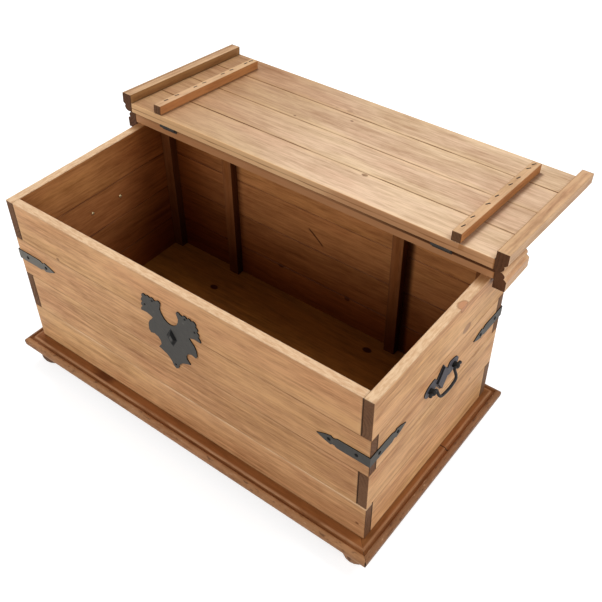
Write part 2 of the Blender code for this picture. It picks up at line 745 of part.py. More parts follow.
def handle_plate_mesh():
    """The back plate: a leaf at each end, a raised diamond between them, and two holes for the bolts."""
    quarter = list(HANDLE_PLATE_OUTLINE)
    upper = quarter + [(-across, up) for across, up in reversed(quarter[:-1])]
    outline = upper + [(across, -up) for across, up in reversed(upper[1:-1])]
    plate = plate_mesh("handle_plate", HANDLE_PLATE_THICKNESS, outline)
    boss = diamond_mesh(
        "handle_boss",
        HANDLE_BOSS_WIDTH,
        HANDLE_BOSS_HEIGHT,
        HANDLE_BOSS_PROUD,
        HANDLE_PLATE_THICKNESS / 2,
        HANDLE_BOSS_TOP_SHARE,
    )
    boss.transform(Matrix.Translation((0, 0, HANDLE_PLATE_THICKNESS / 2)))
    raised = combined("raised_plate", plate, [boss], "UNION")
    holes = []
    for across in (-POST_SPREAD / 2, POST_SPREAD / 2):
        hole = rod_mesh("plate_hole", SHANK_RADIUS + GAP, 4 * HANDLE_PLATE_THICKNESS, POST_STEPS)
        hole.transform(Matrix.Translation((across, 0, 0)))
        holes.append(hole)
    return combined("handle_plate", raised, holes, "DIFFERENCE")


def eye_bolt_mesh():
    """An eye bolt about Z, with z = 0 on the wall: domed post, shank, and an end clenched inside the wall."""
    inside = -WALL_THICKNESS - GAP
    profile = arc((0, EYE_STANDOFF), (POST_RADIUS, POST_DOME), 90, 0)
    profile += [(POST_RADIUS, HANDLE_PLATE_TOP + GAP), (SHANK_RADIUS, HANDLE_PLATE_TOP + GAP)]
    profile += [(SHANK_RADIUS, inside), (CLENCH_RADIUS, inside)]
    profile += arc((0, inside), (CLENCH_RADIUS, CLENCH_HEIGHT), 0, -90)[1:]
    bolt = turned_mesh("eye_bolt", profile, POST_STEPS)
    eye = rod_mesh("eye", EYE_RADIUS, 4 * POST_RADIUS, POST_STEPS)
    eye.transform(Matrix.Rotation(math.pi / 2, 4, "Y"))
    eye.transform(Matrix.Translation((0, 0, EYE_STANDOFF)))
    return round_shading(combined("eye_bolt", bolt, [eye], "DIFFERENCE"))


def bail_path():
    """Half of the bail, from its ball end to the middle of its bow: across, down and wire radius."""
    ball_neck = 180 - math.degrees(math.asin(BAIL_RADIUS / BAIL_BALL_RADIUS))
    ball_radii = (BAIL_BALL_RADIUS, BAIL_BALL_RADIUS)
    ball = arc((BALL_MIDDLE, 0), ball_radii, BAIL_BALL_CAP, ball_neck)
    elbow = (BAIL_HALF_WIDTH + BAIL_ELBOW, BAIL_ELBOW)
    wire = arc(elbow, (BAIL_ELBOW, BAIL_ELBOW), 270, 180)
    corner = (BAIL_HALF_WIDTH - BAIL_CORNER, BAIL_DROP - BAIL_CORNER)
    wire += arc(corner, (BAIL_CORNER, BAIL_CORNER), 0, 90 - BAIL_BOW_TURN)
    bow_across, bow_down = wire[-1]
    bow_radius = bow_across / math.sin(math.radians(BAIL_BOW_TURN))
    bow_middle = (0, bow_down - bow_radius * math.cos(math.radians(BAIL_BOW_TURN)))
    wire += arc(bow_middle, (bow_radius, bow_radius), 90 - BAIL_BOW_TURN, 90)[1:]
    return [(across, 0, radius) for across, radius in ball] + [(*point, BAIL_RADIUS) for point in wire]


def bail_mesh():
    """A bail about its axis, which is X, hanging down in the plane y = 0."""
    half = bail_path()
    path = half + [(-across, down, radius) for across, down, radius in reversed(half[:-1])]
    curve = bpy.data.curves.new("bail", "CURVE")
    curve.dimensions = "3D"
    curve.fill_mode = "FULL"
    curve.bevel_depth = BAIL_RADIUS
    curve.bevel_resolution = 2
    curve.use_fill_caps = True
    spline = curve.splines.new("POLY")
    spline.points.add(len(path) - 1)
    for point, (across, down, radius) in zip(spline.points, path):
        point.co = (across, 0, -down, 1)
        point.radius = radius / BAIL_RADIUS
    return round_shading(baked(helper("bail", curve)))


def build_handles():
    plate = handle_plate_mesh()
    bolt = eye_bolt_mesh()
    bail = bail_mesh()
    middle = BOX_DEPTH / 2
    for side, out, heading in (("left", -1, -90), ("right", 1, 90)):
        wall = out * BOX_END
        plate_middle = wall + out * (GAP + HANDLE_PLATE_THICKNESS / 2)
        add(f"handle_plate_{side}", plate, HANDLE_IRON, (plate_middle, middle, HANDLE_HEIGHT), facing(heading))
        for y, place in handle_post_places():
            add(f"eye_bolt_{side}_{place}", bolt, HANDLE_IRON, (wall, y, HANDLE_HEIGHT), facing(heading))
        axis = (wall + out * EYE_STANDOFF, middle, HANDLE_HEIGHT)
        hang = (-BAIL_HANG_ANGLE, 0, math.radians(heading))
        add(f"bail_{side}", bail, HANDLE_IRON, axis, hang)


build_walls()
build_inside()
build_plinth()
build_feet()
build_lid()
build_hinges()
build_straps()
build_lock()
build_handles()
LID_PIVOT.rotation_euler.x = -OPEN_ANGLE
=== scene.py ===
"""Storage trunk: waxed pine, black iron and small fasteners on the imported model, with floor and light."""
import json
import math
import random
from collections import namedtuple

import bmesh
import bpy
from mathutils import Matrix, Vector

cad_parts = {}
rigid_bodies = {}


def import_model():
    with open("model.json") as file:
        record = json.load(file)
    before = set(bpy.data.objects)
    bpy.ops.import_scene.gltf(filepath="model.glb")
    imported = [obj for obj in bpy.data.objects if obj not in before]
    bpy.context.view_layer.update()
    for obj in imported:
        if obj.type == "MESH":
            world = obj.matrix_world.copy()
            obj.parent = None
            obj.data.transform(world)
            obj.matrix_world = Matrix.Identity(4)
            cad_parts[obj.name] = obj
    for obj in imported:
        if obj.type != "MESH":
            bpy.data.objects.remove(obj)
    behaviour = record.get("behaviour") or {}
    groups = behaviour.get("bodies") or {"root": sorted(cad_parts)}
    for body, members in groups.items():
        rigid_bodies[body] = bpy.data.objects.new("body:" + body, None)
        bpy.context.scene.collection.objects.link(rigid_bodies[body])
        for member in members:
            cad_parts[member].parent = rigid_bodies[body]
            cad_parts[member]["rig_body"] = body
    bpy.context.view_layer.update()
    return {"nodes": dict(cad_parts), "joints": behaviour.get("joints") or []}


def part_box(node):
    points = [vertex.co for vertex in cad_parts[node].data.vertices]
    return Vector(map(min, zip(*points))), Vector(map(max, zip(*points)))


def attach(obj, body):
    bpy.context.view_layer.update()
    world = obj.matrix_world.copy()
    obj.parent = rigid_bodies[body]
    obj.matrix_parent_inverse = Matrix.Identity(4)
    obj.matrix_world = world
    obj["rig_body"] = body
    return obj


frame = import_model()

NODES = frame["nodes"]
HINGE = next(joint for joint in frame["joints"] if joint["name"] == "lid_hinge")
AXIS = Vector(HINGE["pos_m"])
CLOSING = math.radians(HINGE["range_deg"][1])
TO_CLOSED = Matrix.Translation(AXIS) @ Matrix.Rotation(CLOSING, 4, "X") @ Matrix.Translation(-AXIS)
TO_OPEN = TO_CLOSED.inverted()
STAYS = Matrix.Identity(4)
SIDES = ("left", "right")
NUMBERS = (1, 2, 3, 4)

# Camera of the photograph
CAMERA_PLACE = Vector((0.91689, -1.13961, 1.50017))
CAMERA_FORWARD = Vector((-0.45267, 0.58465, -0.67325))
CAMERA_ROLL = math.radians(-0.42665)
CAMERA_LENS = 51.2238
CAMERA_SENSOR = 36.0

# Light: place, aim, width, height and power of each softbox, then floor and background
SOFTBOXES = {
    "right": ((3.0, -1.1, 1.1), (0.0, 0.0, 0.3), 2.2, 1.2, 31.0),
    "front": ((-1.6, -2.9, 1.7), (0.0, 0.0, 0.25), 2.0, 1.6, 48.0),
    "left": ((-1.7, 1.2, 3.8), (0.0, 0.1, 0.5), 1.5, 1.5, 58.0),
    "top": ((1.7, 0.7, 3.2), (0.0, 0.1, 0.5), 1.5, 1.5, 46.0),
}
FLOOR_HALF = 9.0
FLOOR_GREY = (0.6, 0.6, 0.6, 1.0)
FLOOR_GLOW = 0.68
WORLD_LIGHT = 0.3
WORLD_SEEN = 0.7
WHITE = (1.0, 1.0, 1.0, 1.0)

# Wood textures: how far each board's pattern is moved, the width of a ring, and the chances of its log
SEED_SPREAD = 40.0
RING_WIDTH = 0.0075
KNOT_RING_WIDTH = 0.0021
LOG_TILT = 0.015
HEART_ASIDE = 0.05
HEART_DEPTHS = (0.03, 0.12)
TONE_SPREAD = 0.05

# How much each pattern darkens the wood
LATE_TONE = 0.14
STREAK_TONE = 0.85
FIBRE_TONE = 0.4
SHORT_TONE = 1.2
CLOUD_TONE = 0.55
PATCH_TONE = 0.7

# Factors on a wood colour: rosy and yellow patches, dark lines of late wood, dust beside a joint
ROSY = (0.99, 0.85, 0.86, 1.0)
YELLOW = (1.04, 1.11, 1.0, 1.0)
LATE_LINE = (0.60, 0.45, 0.33, 1.0)
JOINT_DUST = (0.66, 0.54, 0.42, 1.0)

# Waxed wood and lacquered iron shine only a little; strength and depth of their unevenness
SPECULAR = 0.12
PINE_BUMP = (0.35, 0.0006)
IRON_BUMP = (0.4, 0.0008)

bpy.context.scene.view_settings.view_transform = "Standard"


def srgb(red, green, blue):
    """Linear colour from display values of 0 to 255."""

    def channel(value):
        share = value / 255
        return share / 12.92 if share <= 0.04045 else ((share + 0.055) / 1.055) ** 2.4

    return (channel(red), channel(green), channel(blue), 1.0)


class Graph:
    """Adds nodes to a tree. A value is a number, a tuple or another node's output."""

    def __init__(self, tree):
        self.tree = tree

    def set(self, socket, value):
        if isinstance(value, bpy.types.NodeSocket):
            self.tree.links.new(value, socket)
        elif value is not None:
            socket.default_value = value

    def node(self, kind, values=(), **settings):
        made = self.tree.nodes.new(kind)
        for name, setting in settings.items():
            setattr(made, name, setting)
        named = values.items() if isinstance(values, dict) else enumerate(values)
        for key, value in named:
            self.set(made.inputs[key], value)
        return made

    def group(self, tree, values):
        return self.node("ShaderNodeGroup", values, node_tree=tree).outputs

    def math(self, operation, *values, clamp=False):
        return self.node("ShaderNodeMath", values, operation=operation, use_clamp=clamp).outputs[0]

    def plus(self, base, pattern, share, clamp=False):
        """The base with a share of the pattern added."""
        return self.math("MULTIPLY_ADD", pattern, share, base, clamp=clamp)

    def times(self, first, *others):
        """The product of all the values."""
        for other in others:
            first = self.math("MULTIPLY", first, other)
        return first

    def length(self, first, second):
        """The length of a vector with these two parts."""
        return self.math("SQRT", self.math("ADD", self.times(first, first), self.times(second, second)))

    def apart(self, first, second):
        """How far two numbers are apart."""
        return self.math("ABSOLUTE", self.math("SUBTRACT", first, second))

    def vector(self, operation, *values):
        return self.node("ShaderNodeVectorMath", values, operation=operation).outputs[0]

    def distance(self, *points):
        return self.node("ShaderNodeVectorMath", points, operation="DISTANCE").outputs["Value"]

    def split(self, vector):
        return self.node("ShaderNodeSeparateXYZ", (vector,)).outputs[:]

    def join(self, x, y, z):
        return self.node("ShaderNodeCombineXYZ", (x, y, z)).outputs[0]

    def step(self, value, low, high, start=0.0, end=1.0):
        """A smooth step from start to end while the value goes from low to high."""
        values = (value, low, high, start, end)
        return self.node("ShaderNodeMapRange", values, interpolation_type="SMOOTHSTEP").outputs[0]

    def noise(self, place, along, across, detail=2.0, roughness=0.5):
        """Noise round zero, half up and half down, at so many cells per metre along x and across it."""
        scaled = self.vector("MULTIPLY", place, (along, across, across))
        values = {"Vector": scaled, "Scale": 1.0, "Detail": detail, "Roughness": roughness}
        return self.math("SUBTRACT", self.node("ShaderNodeTexNoise", values).outputs[0], 0.5)

    def mix(self, share, first, second, blend="MIX"):
        made = self.node("ShaderNodeMix", data_type="RGBA", blend_type=blend, clamp_factor=True)
        for socket, value in zip((made.inputs[0], made.inputs[6], made.inputs[7]), (share, first, second)):
            self.set(socket, value)
        return made.outputs[2]

    def multiply_tint(self, share, colour, factor):
        """The colour, multiplied by the factor as far as the share goes."""
        return self.mix(share, colour, self.mix(1.0, colour, factor, "MULTIPLY"))


def new_group(name, given, returned):
    """A node group, with the labels of its inputs and outputs by kind."""
    tree = bpy.data.node_groups.new(name, "ShaderNodeTree")
    for direction, sockets in (("INPUT", given), ("OUTPUT", returned)):
        for kind, labels in sockets.items():
            for label in labels:
                tree.interface.new_socket(label, in_out=direction, socket_type="NodeSocket" + kind)
    inputs = tree.nodes.new("NodeGroupInput").outputs
    outputs = tree.nodes.new("NodeGroupOutput").inputs
    return tree, Graph(tree), inputs, outputs


# Colours of knots and sawn ends
KNOT_PALE = srgb(140, 84, 46)
KNOT_DARK = srgb(86, 46, 22)
END_PALE = srgb(112, 75, 50)
END_DARK = srgb(58, 35, 21)
END_HIDDEN = srgb(44, 24, 12)


def knot_group():
    """One knot: Knot is its place along and across the board and its radius."""
    tree, g, given, returned = new_group(
        "knot", {"Vector": ("Place", "Knot"), "Float": ("Wobble",)}, {"Float": ("Core", "Bend", "Rings")}
    )
    x, y, _ = g.split(given["Place"])
    knot_x, knot_y, radius = g.split(given["Knot"])
    along = g.times(g.math("SUBTRACT", x, knot_x), 0.7)
    across = g.plus(g.math("SUBTRACT", y, knot_y), given["Wobble"], 0.004)
    reach = g.length(along, across)
    share = g.math("DIVIDE", reach, g.math("MAXIMUM", radius, 0.00001))
    falloff = g.math("POWER", 0.8, g.times(share, share))
    g.set(returned["Core"], g.step(share, 0.75, 1.15, 1.0, 0.0))
    g.set(returned["Bend"], g.times(falloff, radius, 1.3))
    g.set(returned["Rings"], g.math("FRACT", g.math("DIVIDE", reach, KNOT_RING_WIDTH)))
    return tree


def pine_group():
    """Solid pine in board coordinates: x along the grain, y across the board, z through it."""
    tree, g, given, returned = new_group(
        "pine",
        {
            "Vector": ("Place", "Half", "Seed", "Heart", "Knot 1", "Knot 2"),
            "Color": ("Light", "Dark", "Pale", "Joint"),
            "Float": ("Knot Depth", "Seam", "Wear", "Tone", "End"),
        },
        {"Color": ("Color",), "Float": ("Roughness", "Height")},
    )
    place = given["Place"]
    seeded = g.vector("ADD", place, given["Seed"])
    x, y, z = g.split(place)
    tilt, heart_y, heart_z = g.split(given["Heart"])

    wander = g.noise(seeded, 1.3, 5.0, 1.0)
    wobble = g.noise(seeded, 10.0, 32.0)
    knots = []
    for label in ("Knot 1", "Knot 2"):
        knots.append(g.group(KNOT, {"Place": place, "Knot": given[label], "Wobble": wobble}))
    core = g.math("MAXIMUM", knots[0]["Core"], knots[1]["Core"])
    bend = g.math("ADD", knots[0]["Bend"], knots[1]["Bend"])

    # Year rings round the heart of the log, bent by the knots
    off_y = g.plus(g.math("SUBTRACT", y, heart_y), wander, 0.05)
    off_z = g.plus(g.math("SUBTRACT", z, heart_z), tilt, x)
    phase = g.math("DIVIDE", g.math("ADD", g.length(off_y, off_z), bend), RING_WIDTH)
    ring = g.math("FRACT", g.plus(phase, wobble, 0.9))
    late = g.math("SUBTRACT", g.step(ring, 0.1, 0.84), g.step(ring, 0.86, 1.0))
    late = g.times(late, g.step(g.noise(seeded, 2.2, 16.0), -0.2, 0.24, 0.12, 1.0))

    # Patches and clouds of tone, fine fibres, rosy and yellow patches
    streak = g.noise(seeded, 3.5, 70.0, 3.0)
    fibre = g.noise(seeded, 40.0, 1100.0)
    short = g.noise(seeded, 20.0, 210.0, 3.0, 0.65)
    patch = g.noise(seeded, 3.0, 8.0, 2.0, 0.55)
    cloud = g.noise(seeded, 12.0, 24.0, 3.0, 0.6)
    tone = g.plus(given["Tone"], late, LATE_TONE)
    tone = g.plus(tone, streak, STREAK_TONE)
    tone = g.plus(tone, fibre, FIBRE_TONE)
    tone = g.plus(tone, short, SHORT_TONE)
    tone = g.plus(tone, cloud, CLOUD_TONE)
    tone = g.plus(tone, patch, PATCH_TONE, clamp=True)
    colour = g.mix(tone, given["Light"], given["Dark"])
    hue = g.noise(seeded, 3.0, 11.0)
    colour = g.multiply_tint(g.step(hue, 0.0, 0.14, 0.0, 0.28), colour, ROSY)
    colour = g.multiply_tint(g.step(hue, -0.14, 0.0, 0.35, 0.0), colour, YELLOW)

    # Thin dark lines in groups, short dashes, and the knots over them
    line = g.step(g.noise(seeded, 6.0, 330.0), 0.06, 0.24)
    gather = g.step(g.noise(seeded, 2.0, 18.0, 1.0), -0.02, 0.2)
    line = g.times(line, gather, 0.55)
    dash = g.step(g.noise(seeded, 22.0, 420.0), 0.13, 0.27)
    dash = g.times(dash, g.step(cloud, -0.1, 0.2), 0.45)
    colour = g.multiply_tint(g.math("MAXIMUM", line, dash), colour, LATE_LINE)
    knot_rings = g.math("MAXIMUM", knots[0]["Rings"], knots[1]["Rings"])
    knot_colour = g.mix(knot_rings, KNOT_PALE, KNOT_DARK)
    knot_colour = g.mix(1.0, knot_colour, given["Pale"], "MULTIPLY")
    colour = g.mix(g.times(core, given["Knot Depth"]), colour, knot_colour)

    # Distance to the nearest edge of the board: the middle one of the three distances to its faces
    gaps = g.split(g.vector("SUBTRACT", given["Half"], g.vector("ABSOLUTE", place)))
    low = g.math("MINIMUM", gaps[0], gaps[1])
    high = g.math("MAXIMUM", gaps[0], gaps[1])
    edge = g.math("MAXIMUM", low, g.math("MINIMUM", high, gaps[2]))

    # Edges are rubbed pale; beside a joint there is dust, and the joint itself is dark
    chips = g.noise(seeded, 45.0, 90.0, 3.0, 0.65)
    rub = g.step(g.plus(edge, chips, 0.006), 0.0004, 0.0038, 0.5, 0.0)
    band = g.step(g.plus(edge, cloud, 0.03), 0.002, 0.014, 0.4, 0.0)
    rub = g.times(g.math("MAXIMUM", rub, band), given["Wear"])
    colour = g.mix(rub, colour, given["Pale"])
    breaks = g.step(g.noise(seeded, 9.0, 30.0, 3.0), -0.14, 0.14, 0.4, 1.0)
    seam = g.times(given["Seam"], breaks)
    dust = g.step(g.plus(edge, chips, 0.004), 0.0008, 0.0046, 0.8, 0.0)
    colour = g.multiply_tint(g.times(dust, seam), colour, JOINT_DUST)
    groove = g.step(edge, 0.0006, 0.0019, 1.0, 0.0)
    colour = g.mix(g.times(groove, seam), colour, given["Joint"])

    # Sawn ends drink the stain; End is how far they show on the faces beside them
    end = g.step(g.math("DIVIDE", gaps[0], given["End"]), 0.5, 1.4, 1.0, 0.0)
    pores = g.noise(seeded, 300.0, 420.0)
    end_tone = g.plus(g.plus(0.4, pores, 0.9), late, 0.5, clamp=True)
    end_colour = g.mix(end_tone, END_PALE, END_DARK)
    end_colour = g.mix(g.step(given["End"], 0.001, 0.0015), end_colour, END_HIDDEN)
    colour = g.mix(g.times(end, 0.92), colour, end_colour)

    rough = g.plus(0.47, patch, 0.3)
    rough = g.plus(rough, late, 0.08)
    rough = g.plus(rough, g.math("MAXIMUM", rub, end), 0.14, clamp=True)
    height = g.plus(g.times(fibre, 0.55), late, 0.35)
    height = g.plus(height, streak, 0.5)
    height = g.plus(height, core, -0.3)
    height = g.plus(height, g.times(rub, chips), 1.6)
    g.set(returned["Color"], colour)
    g.set(returned["Roughness"], rough)
    g.set(returned["Height"], height)
    return tree


KNOT = knot_group()
PINE = pine_group()


def new_material(name):
    material = bpy.data.materials.new(name)
    material.use_nodes = True
    graph = Graph(material.node_tree)
    shader = material.node_tree.nodes["Principled BSDF"]
    place = graph.node("ShaderNodeTexCoord").outputs["Object"]
    return material, graph, shader, place


def finish_shader(g, shader, colour, roughness, height, bump):
    """Links what a shader shows, with the strength and depth of its unevenness."""
    strength, distance = bump
    uneven = g.node("ShaderNodeBump", {"Strength": strength, "Distance": distance, "Height": height})
    g.set(shader.inputs["Base Color"], colour)
    g.set(shader.inputs["Roughness"], roughness)
    g.set(shader.inputs["Normal"], uneven.outputs[0])
    shader.inputs["Specular IOR Level"].default_value = SPECULAR


def closed_corners(node):
    """A lid node's box in the closed pose, or any other node's own box."""
    turn = TO_CLOSED if NODES[node]["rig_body"] == "lid" else STAYS
    points = [turn @ vertex.co for vertex in NODES[node].data.vertices]
    low = Vector(min(point[axis] for point in points) for axis in range(3))
    high = Vector(max(point[axis] for point in points) for axis in range(3))
    return low, high


def dress(node, material):
    slots = NODES[node].data.materials
    slots.clear()
    slots.append(material)


# How far a sawn end shows on the faces beside it: open to view, or butted in a joint that has gone dark
OPEN_END = 0.0008
JOINED_END = 0.0024

# Knots of single boards: how strong they are, then places in the closed pose with radii
KNOTS = {
    "front_board_1": (0.7, ((-0.3239, -0.3606, 0.3695), 0.0035)),
    "front_board_4": (0.7, ((0.4425, -0.3606, 0.1111), 0.0030)),
    "right_board_1": (0.55, ((0.46, -0.0445, 0.3859), 0.0110)),
    "right_board_3": (0.4, ((0.46, 0.0142, 0.1945), 0.0040)),
    "back_board_4": (0.75, ((-0.0951, 0.0894, 0.1680), 0.0060), ((0.1003, 0.0894, 0.1650), 0.0055)),
    "floor_panel": (1.0, ((-0.2380, -0.0024, 0.0871), 0.0080), ((0.1901, 0.0462, 0.0871), 0.0085)),
    "lid_board_1": (1.0, ((0.1211, -0.0701, 0.4628), 0.0052)),
    "lid_board_3": (0.7, ((-0.1487, -0.1835, 0.4628), 0.0028), ((-0.0357, -0.2494, 0.4628), 0.0030)),
    "lid_board_4": (0.25, ((-0.0677, -0.2874, 0.4628), 0.0060), ((-0.1006, -0.2817, 0.4628), 0.0030)),
}

# The inside of the box, its darker colour, and painted shade low down and towards its corner at the back left
FLOOR_LOW, FLOOR_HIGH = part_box("floor_panel")
WALL_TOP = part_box("front_board_1")[1].z
INSIDE_MIDDLE = (FLOOR_LOW + FLOOR_HIGH) / 2
INSIDE_HALF = (FLOOR_HIGH - FLOOR_LOW) / 2 + Vector((0.0018, 0.0018, 0.0))
INSIDE_DARKENING = srgb(218, 196, 171)
INSIDE_PAINTED_SHADE = srgb(182, 150, 118)
INSIDE_SEAM = 0.3
SHADED_CORNER = (FLOOR_LOW.x, FLOOR_HIGH.y, FLOOR_HIGH.z)

# Coordinates on a board with its longest side first, its half sizes, and its middle in the closed pose
Board = namedtuple("Board", "place half middle")


def inside_share(g, place):
    """1 on the inner faces of the box, which are darker than the outside, and 0 elsewhere."""
    x, y, _ = g.split(g.vector("ABSOLUTE", g.vector("SUBTRACT", place, tuple(INSIDE_MIDDLE))))
    return g.times(g.math("LESS_THAN", x, INSIDE_HALF.x), g.math("LESS_THAN", y, INSIDE_HALF.y))


def darken_inside(g, place, colour, within):
    """Darkens the inner faces, with painted shade low down and near the corner at the back left."""
    darkened = g.mix(1.0, colour, INSIDE_DARKENING, "MULTIPLY")
    east, north, up = g.split(g.vector("SUBTRACT", place, SHADED_CORNER))
    away = g.length(east, north)
    # Painted shade: darker towards the bottom and towards the back left corner
    for shade_share in (g.step(up, 0.0, 0.3, 1.0, 0.0), g.step(away, 0.02, 0.28, 1.0, 0.0)):
        darkened = g.multiply_tint(shade_share, darkened, INSIDE_PAINTED_SHADE)
    return g.mix(within, colour, darkened)


def pine(node, woods, seam=(0.2, 0.2), tone=0.3, wear=1.0, end=OPEN_END, tints=(), inside=False):
    """Gives a wood node its own board: grain along its longest side, its own log and its own knots.

    The two seam strengths are those of its low and high edge. Each tint is a function, with its settings,
    that is laid over the finished colour.
    """
    material, g, shader, place = new_material("pine_" + node)
    rng = random.Random(node)
    low, high = closed_corners(node)
    if NODES[node]["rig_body"] == "lid":
        values = {"Vector": place, "Center": tuple(AXIS), "Angle": CLOSING}
        place = g.node("ShaderNodeVectorRotate", values, rotation_type="X_AXIS").outputs[0]
    size = high - low
    middle = (low + high) / 2
    order = sorted(range(3), key=lambda axis: -size[axis])
    parts = g.split(g.vector("SUBTRACT", place, tuple(middle)))
    half = tuple(size[axis] / 2 for axis in order)
    board = Board(g.join(*(parts[axis] for axis in order)), half, middle)
    heart = (
        rng.uniform(-LOG_TILT, LOG_TILT),
        rng.uniform(-HEART_ASIDE, HEART_ASIDE),
        rng.choice((-1, 1)) * rng.uniform(*HEART_DEPTHS),
    )
    within = inside_share(g, place) if inside else None
    upper = g.math("GREATER_THAN", parts[order[1]], 0.0)
    strength = g.plus(seam[0], upper, seam[1] - seam[0])
    depth, *knots = KNOTS.get(node, (0.0,))
    spots = []
    for point, radius in knots:
        offset = Vector(point) - middle
        spots.append((offset[order[0]], offset[order[1]], radius))
    spots += [(0.0, 0.0, 0.0)] * (2 - len(spots))
    light, dark, pale, joint = woods
    values = {
        "Place": board.place,
        "Half": half,
        "Seed": tuple(rng.uniform(-SEED_SPREAD, SEED_SPREAD) for _ in range(3)),
        "Heart": heart,
        "Knot 1": spots[0],
        "Knot 2": spots[1],
        "Knot Depth": depth,
        "Light": light,
        "Dark": dark,
        "Pale": pale,
        "Joint": joint,
        "Seam": g.plus(strength, within, INSIDE_SEAM) if inside else strength,
        "Wear": g.plus(wear, within, -wear) if inside else wear,
        "Tone": tone + rng.uniform(-TONE_SPREAD, TONE_SPREAD),
        "End": end,
    }
    made = g.group(PINE, values)
    colour = made["Color"]
    if inside:
        colour = darken_inside(g, place, colour, within)
    for tint, *settings in tints:
        colour = tint(g, colour, board, *settings)
    finish_shader(g, shader, colour, made["Roughness"], made["Height"], PINE_BUMP)
    dress(node, material)


# Woods: light and dark grain, rubbed edges and the dirt in the joints
WALL = (srgb(223, 172, 122), srgb(136, 85, 46), srgb(226, 186, 140), srgb(92, 50, 24))
LID = (srgb(230, 198, 166), srgb(162, 120, 86), srgb(240, 208, 164), srgb(98, 56, 28))
RAIL = (srgb(206, 164, 124), srgb(138, 98, 66), srgb(224, 188, 146), srgb(96, 54, 26))
BATTEN = (srgb(142, 88, 46), srgb(98, 56, 26), srgb(168, 124, 88), srgb(40, 20, 8))
BASE = (srgb(166, 116, 75), srgb(114, 72, 37), srgb(188, 144, 106), srgb(60, 32, 16))
# A darker copy of the plinth wood: painted shade for the feet on the left
SHADED_FOOT_WOOD = (srgb(112, 76, 50), srgb(66, 40, 24), srgb(140, 104, 76), srgb(40, 22, 12))
BOTTOM = (srgb(150, 93, 37), srgb(88, 49, 17), srgb(136, 88, 48), srgb(50, 26, 10))

# Tones and seam strengths of single boards
WALL_TONE = 0.31
TOP_FRONT_TONE = 0.18
LID_SEAMS = ((1.0, 0.1), (0.7, 1.0), (0.9, 0.7), (0.1, 0.9))
LID_TONES = (0.22, 0.26, 0.32, 0.35)

# Places of marks in the closed pose: the covered part of the rim and its knot, the ends of a split in the
# back wall, and the spilt stain and the joint of the plinth
RIM_STAIN_START = -0.02
RIM_KNOT = -0.072
SPLIT_ENDS = ((-0.0132, 0.3225), (0.0322, 0.2838))
PLINTH_STAIN = -0.246
PLINTH_JOINT = -0.078

# Colours of the marks
# Pale rim tops: partly wear, partly a painted highlight
RIM_WEAR_AND_HIGHLIGHT = srgb(230, 199, 162)
RIM_WEAR_AND_HIGHLIGHT_DULL = srgb(202, 162, 124)
RIM_COVERED = srgb(158, 106, 56)
RIM_KNOT_BARK = srgb(142, 90, 56)
RIM_KNOT_CORE = srgb(194, 140, 104)
FRONT_BROWN = srgb(241, 235, 231)
# Pale line on the front: partly wear, partly a painted highlight
FRONT_WEAR_AND_HIGHLIGHT_LINE = srgb(230, 192, 150)
SILL_DIRT = srgb(118, 68, 30)
SPLIT_DARK = srgb(62, 30, 12)
# Painted shadow beside a back batten
BATTEN_SHADOW_PAINT = srgb(44, 18, 7)
# Painted shade towards the left end of the leaf
LEAF_END_SHADE = srgb(208, 190, 168)
# Painted shadow at the right foot of the lid battens
BATTEN_FOOT_SHADOW = srgb(98, 58, 30)
HINGE_EDGE_PALE = srgb(230, 186, 136)
HINGE_EDGE_BROWN = srgb(184, 128, 80)
HINGE_EDGE_SPLIT = srgb(136, 88, 50)
# Painted shade on the front of the rear lid board, and a painted shadow under the hinge seam
REAR_FACE_SHADE = srgb(172, 116, 70)
REAR_SEAM_SHADOW = srgb(72, 40, 20)
FRONT_NOSE = srgb(250, 248, 246)
SIDE_NOSE = srgb(206, 198, 194)
MOULDING_STAIN = srgb(222, 190, 150)
# Painted shade in the plinth's groove; its arris is pale partly from wear, partly as a painted highlight
GROOVE_SHADE = srgb(64, 32, 14)
RIDGE_WEAR_AND_HIGHLIGHT = srgb(184, 138, 100)
SCUFF_DARK = srgb(74, 42, 22)
SCUFF_PALE = srgb(190, 150, 116)
SPILT_STAIN = srgb(78, 34, 14)
PLINTH_GAP = srgb(50, 26, 12)
BATTEN_SIDE_TINT = srgb(206, 167, 126)
# Painted shade on a rail's inner face and along the left rail's outer edge
RAIL_SHADE = srgb(190, 168, 132)
TIP_STAIN = srgb(214, 198, 190)
# Painted shade in the left rail's quirk
QUIRK_SHADE = srgb(84, 50, 30)
# Painted shade on the flanks and lower parts of the back battens
FLANK_SHADE = srgb(130, 100, 76)

# How far in from a face a mark on it starts, and where it is full
FACE_FADE = (0.0012, 0.0004)
EDGE_FADE = (0.0014, 0.0006)
TIP_FADE = (0.001, 0.0004)
RIM_FADE = (0.0018, 0.0008)
LINE_FADE = (0.005, 0.0025)
SILL_FADE = (0.0055, 0.002)

# The plinth's moulding, from the nose inwards: end of the nose, start of the flat, both sides of the arris
NOSE_END = (0.0085, 0.0105)
FLAT_START = (0.0195, 0.0225)
ARRIS_RISE = (0.0160, 0.0180)
ARRIS_FALL = (0.0190, 0.0225)

# Quirk of a left rail, from its outer edge, and the painted shadow at the right foot of the lid battens:
# width and strength
QUIRK = 0.006
BATTEN_SHADOWS = {"left": (0.006, 0.5), "right": (0.013, 0.75)}


def high_face(g, reach, half, strength=1.0, fade=FACE_FADE):
    """The strength on the face at the high end of a board's half size, and 0 further in."""
    return g.step(reach, half - fade[0], half - fade[1], 0.0, strength)


def low_face(g, reach, half, strength=1.0, fade=EDGE_FADE):
    """The same on the face at the low end."""
    return g.step(reach, fade[1] - half, fade[0] - half, strength, 0.0)


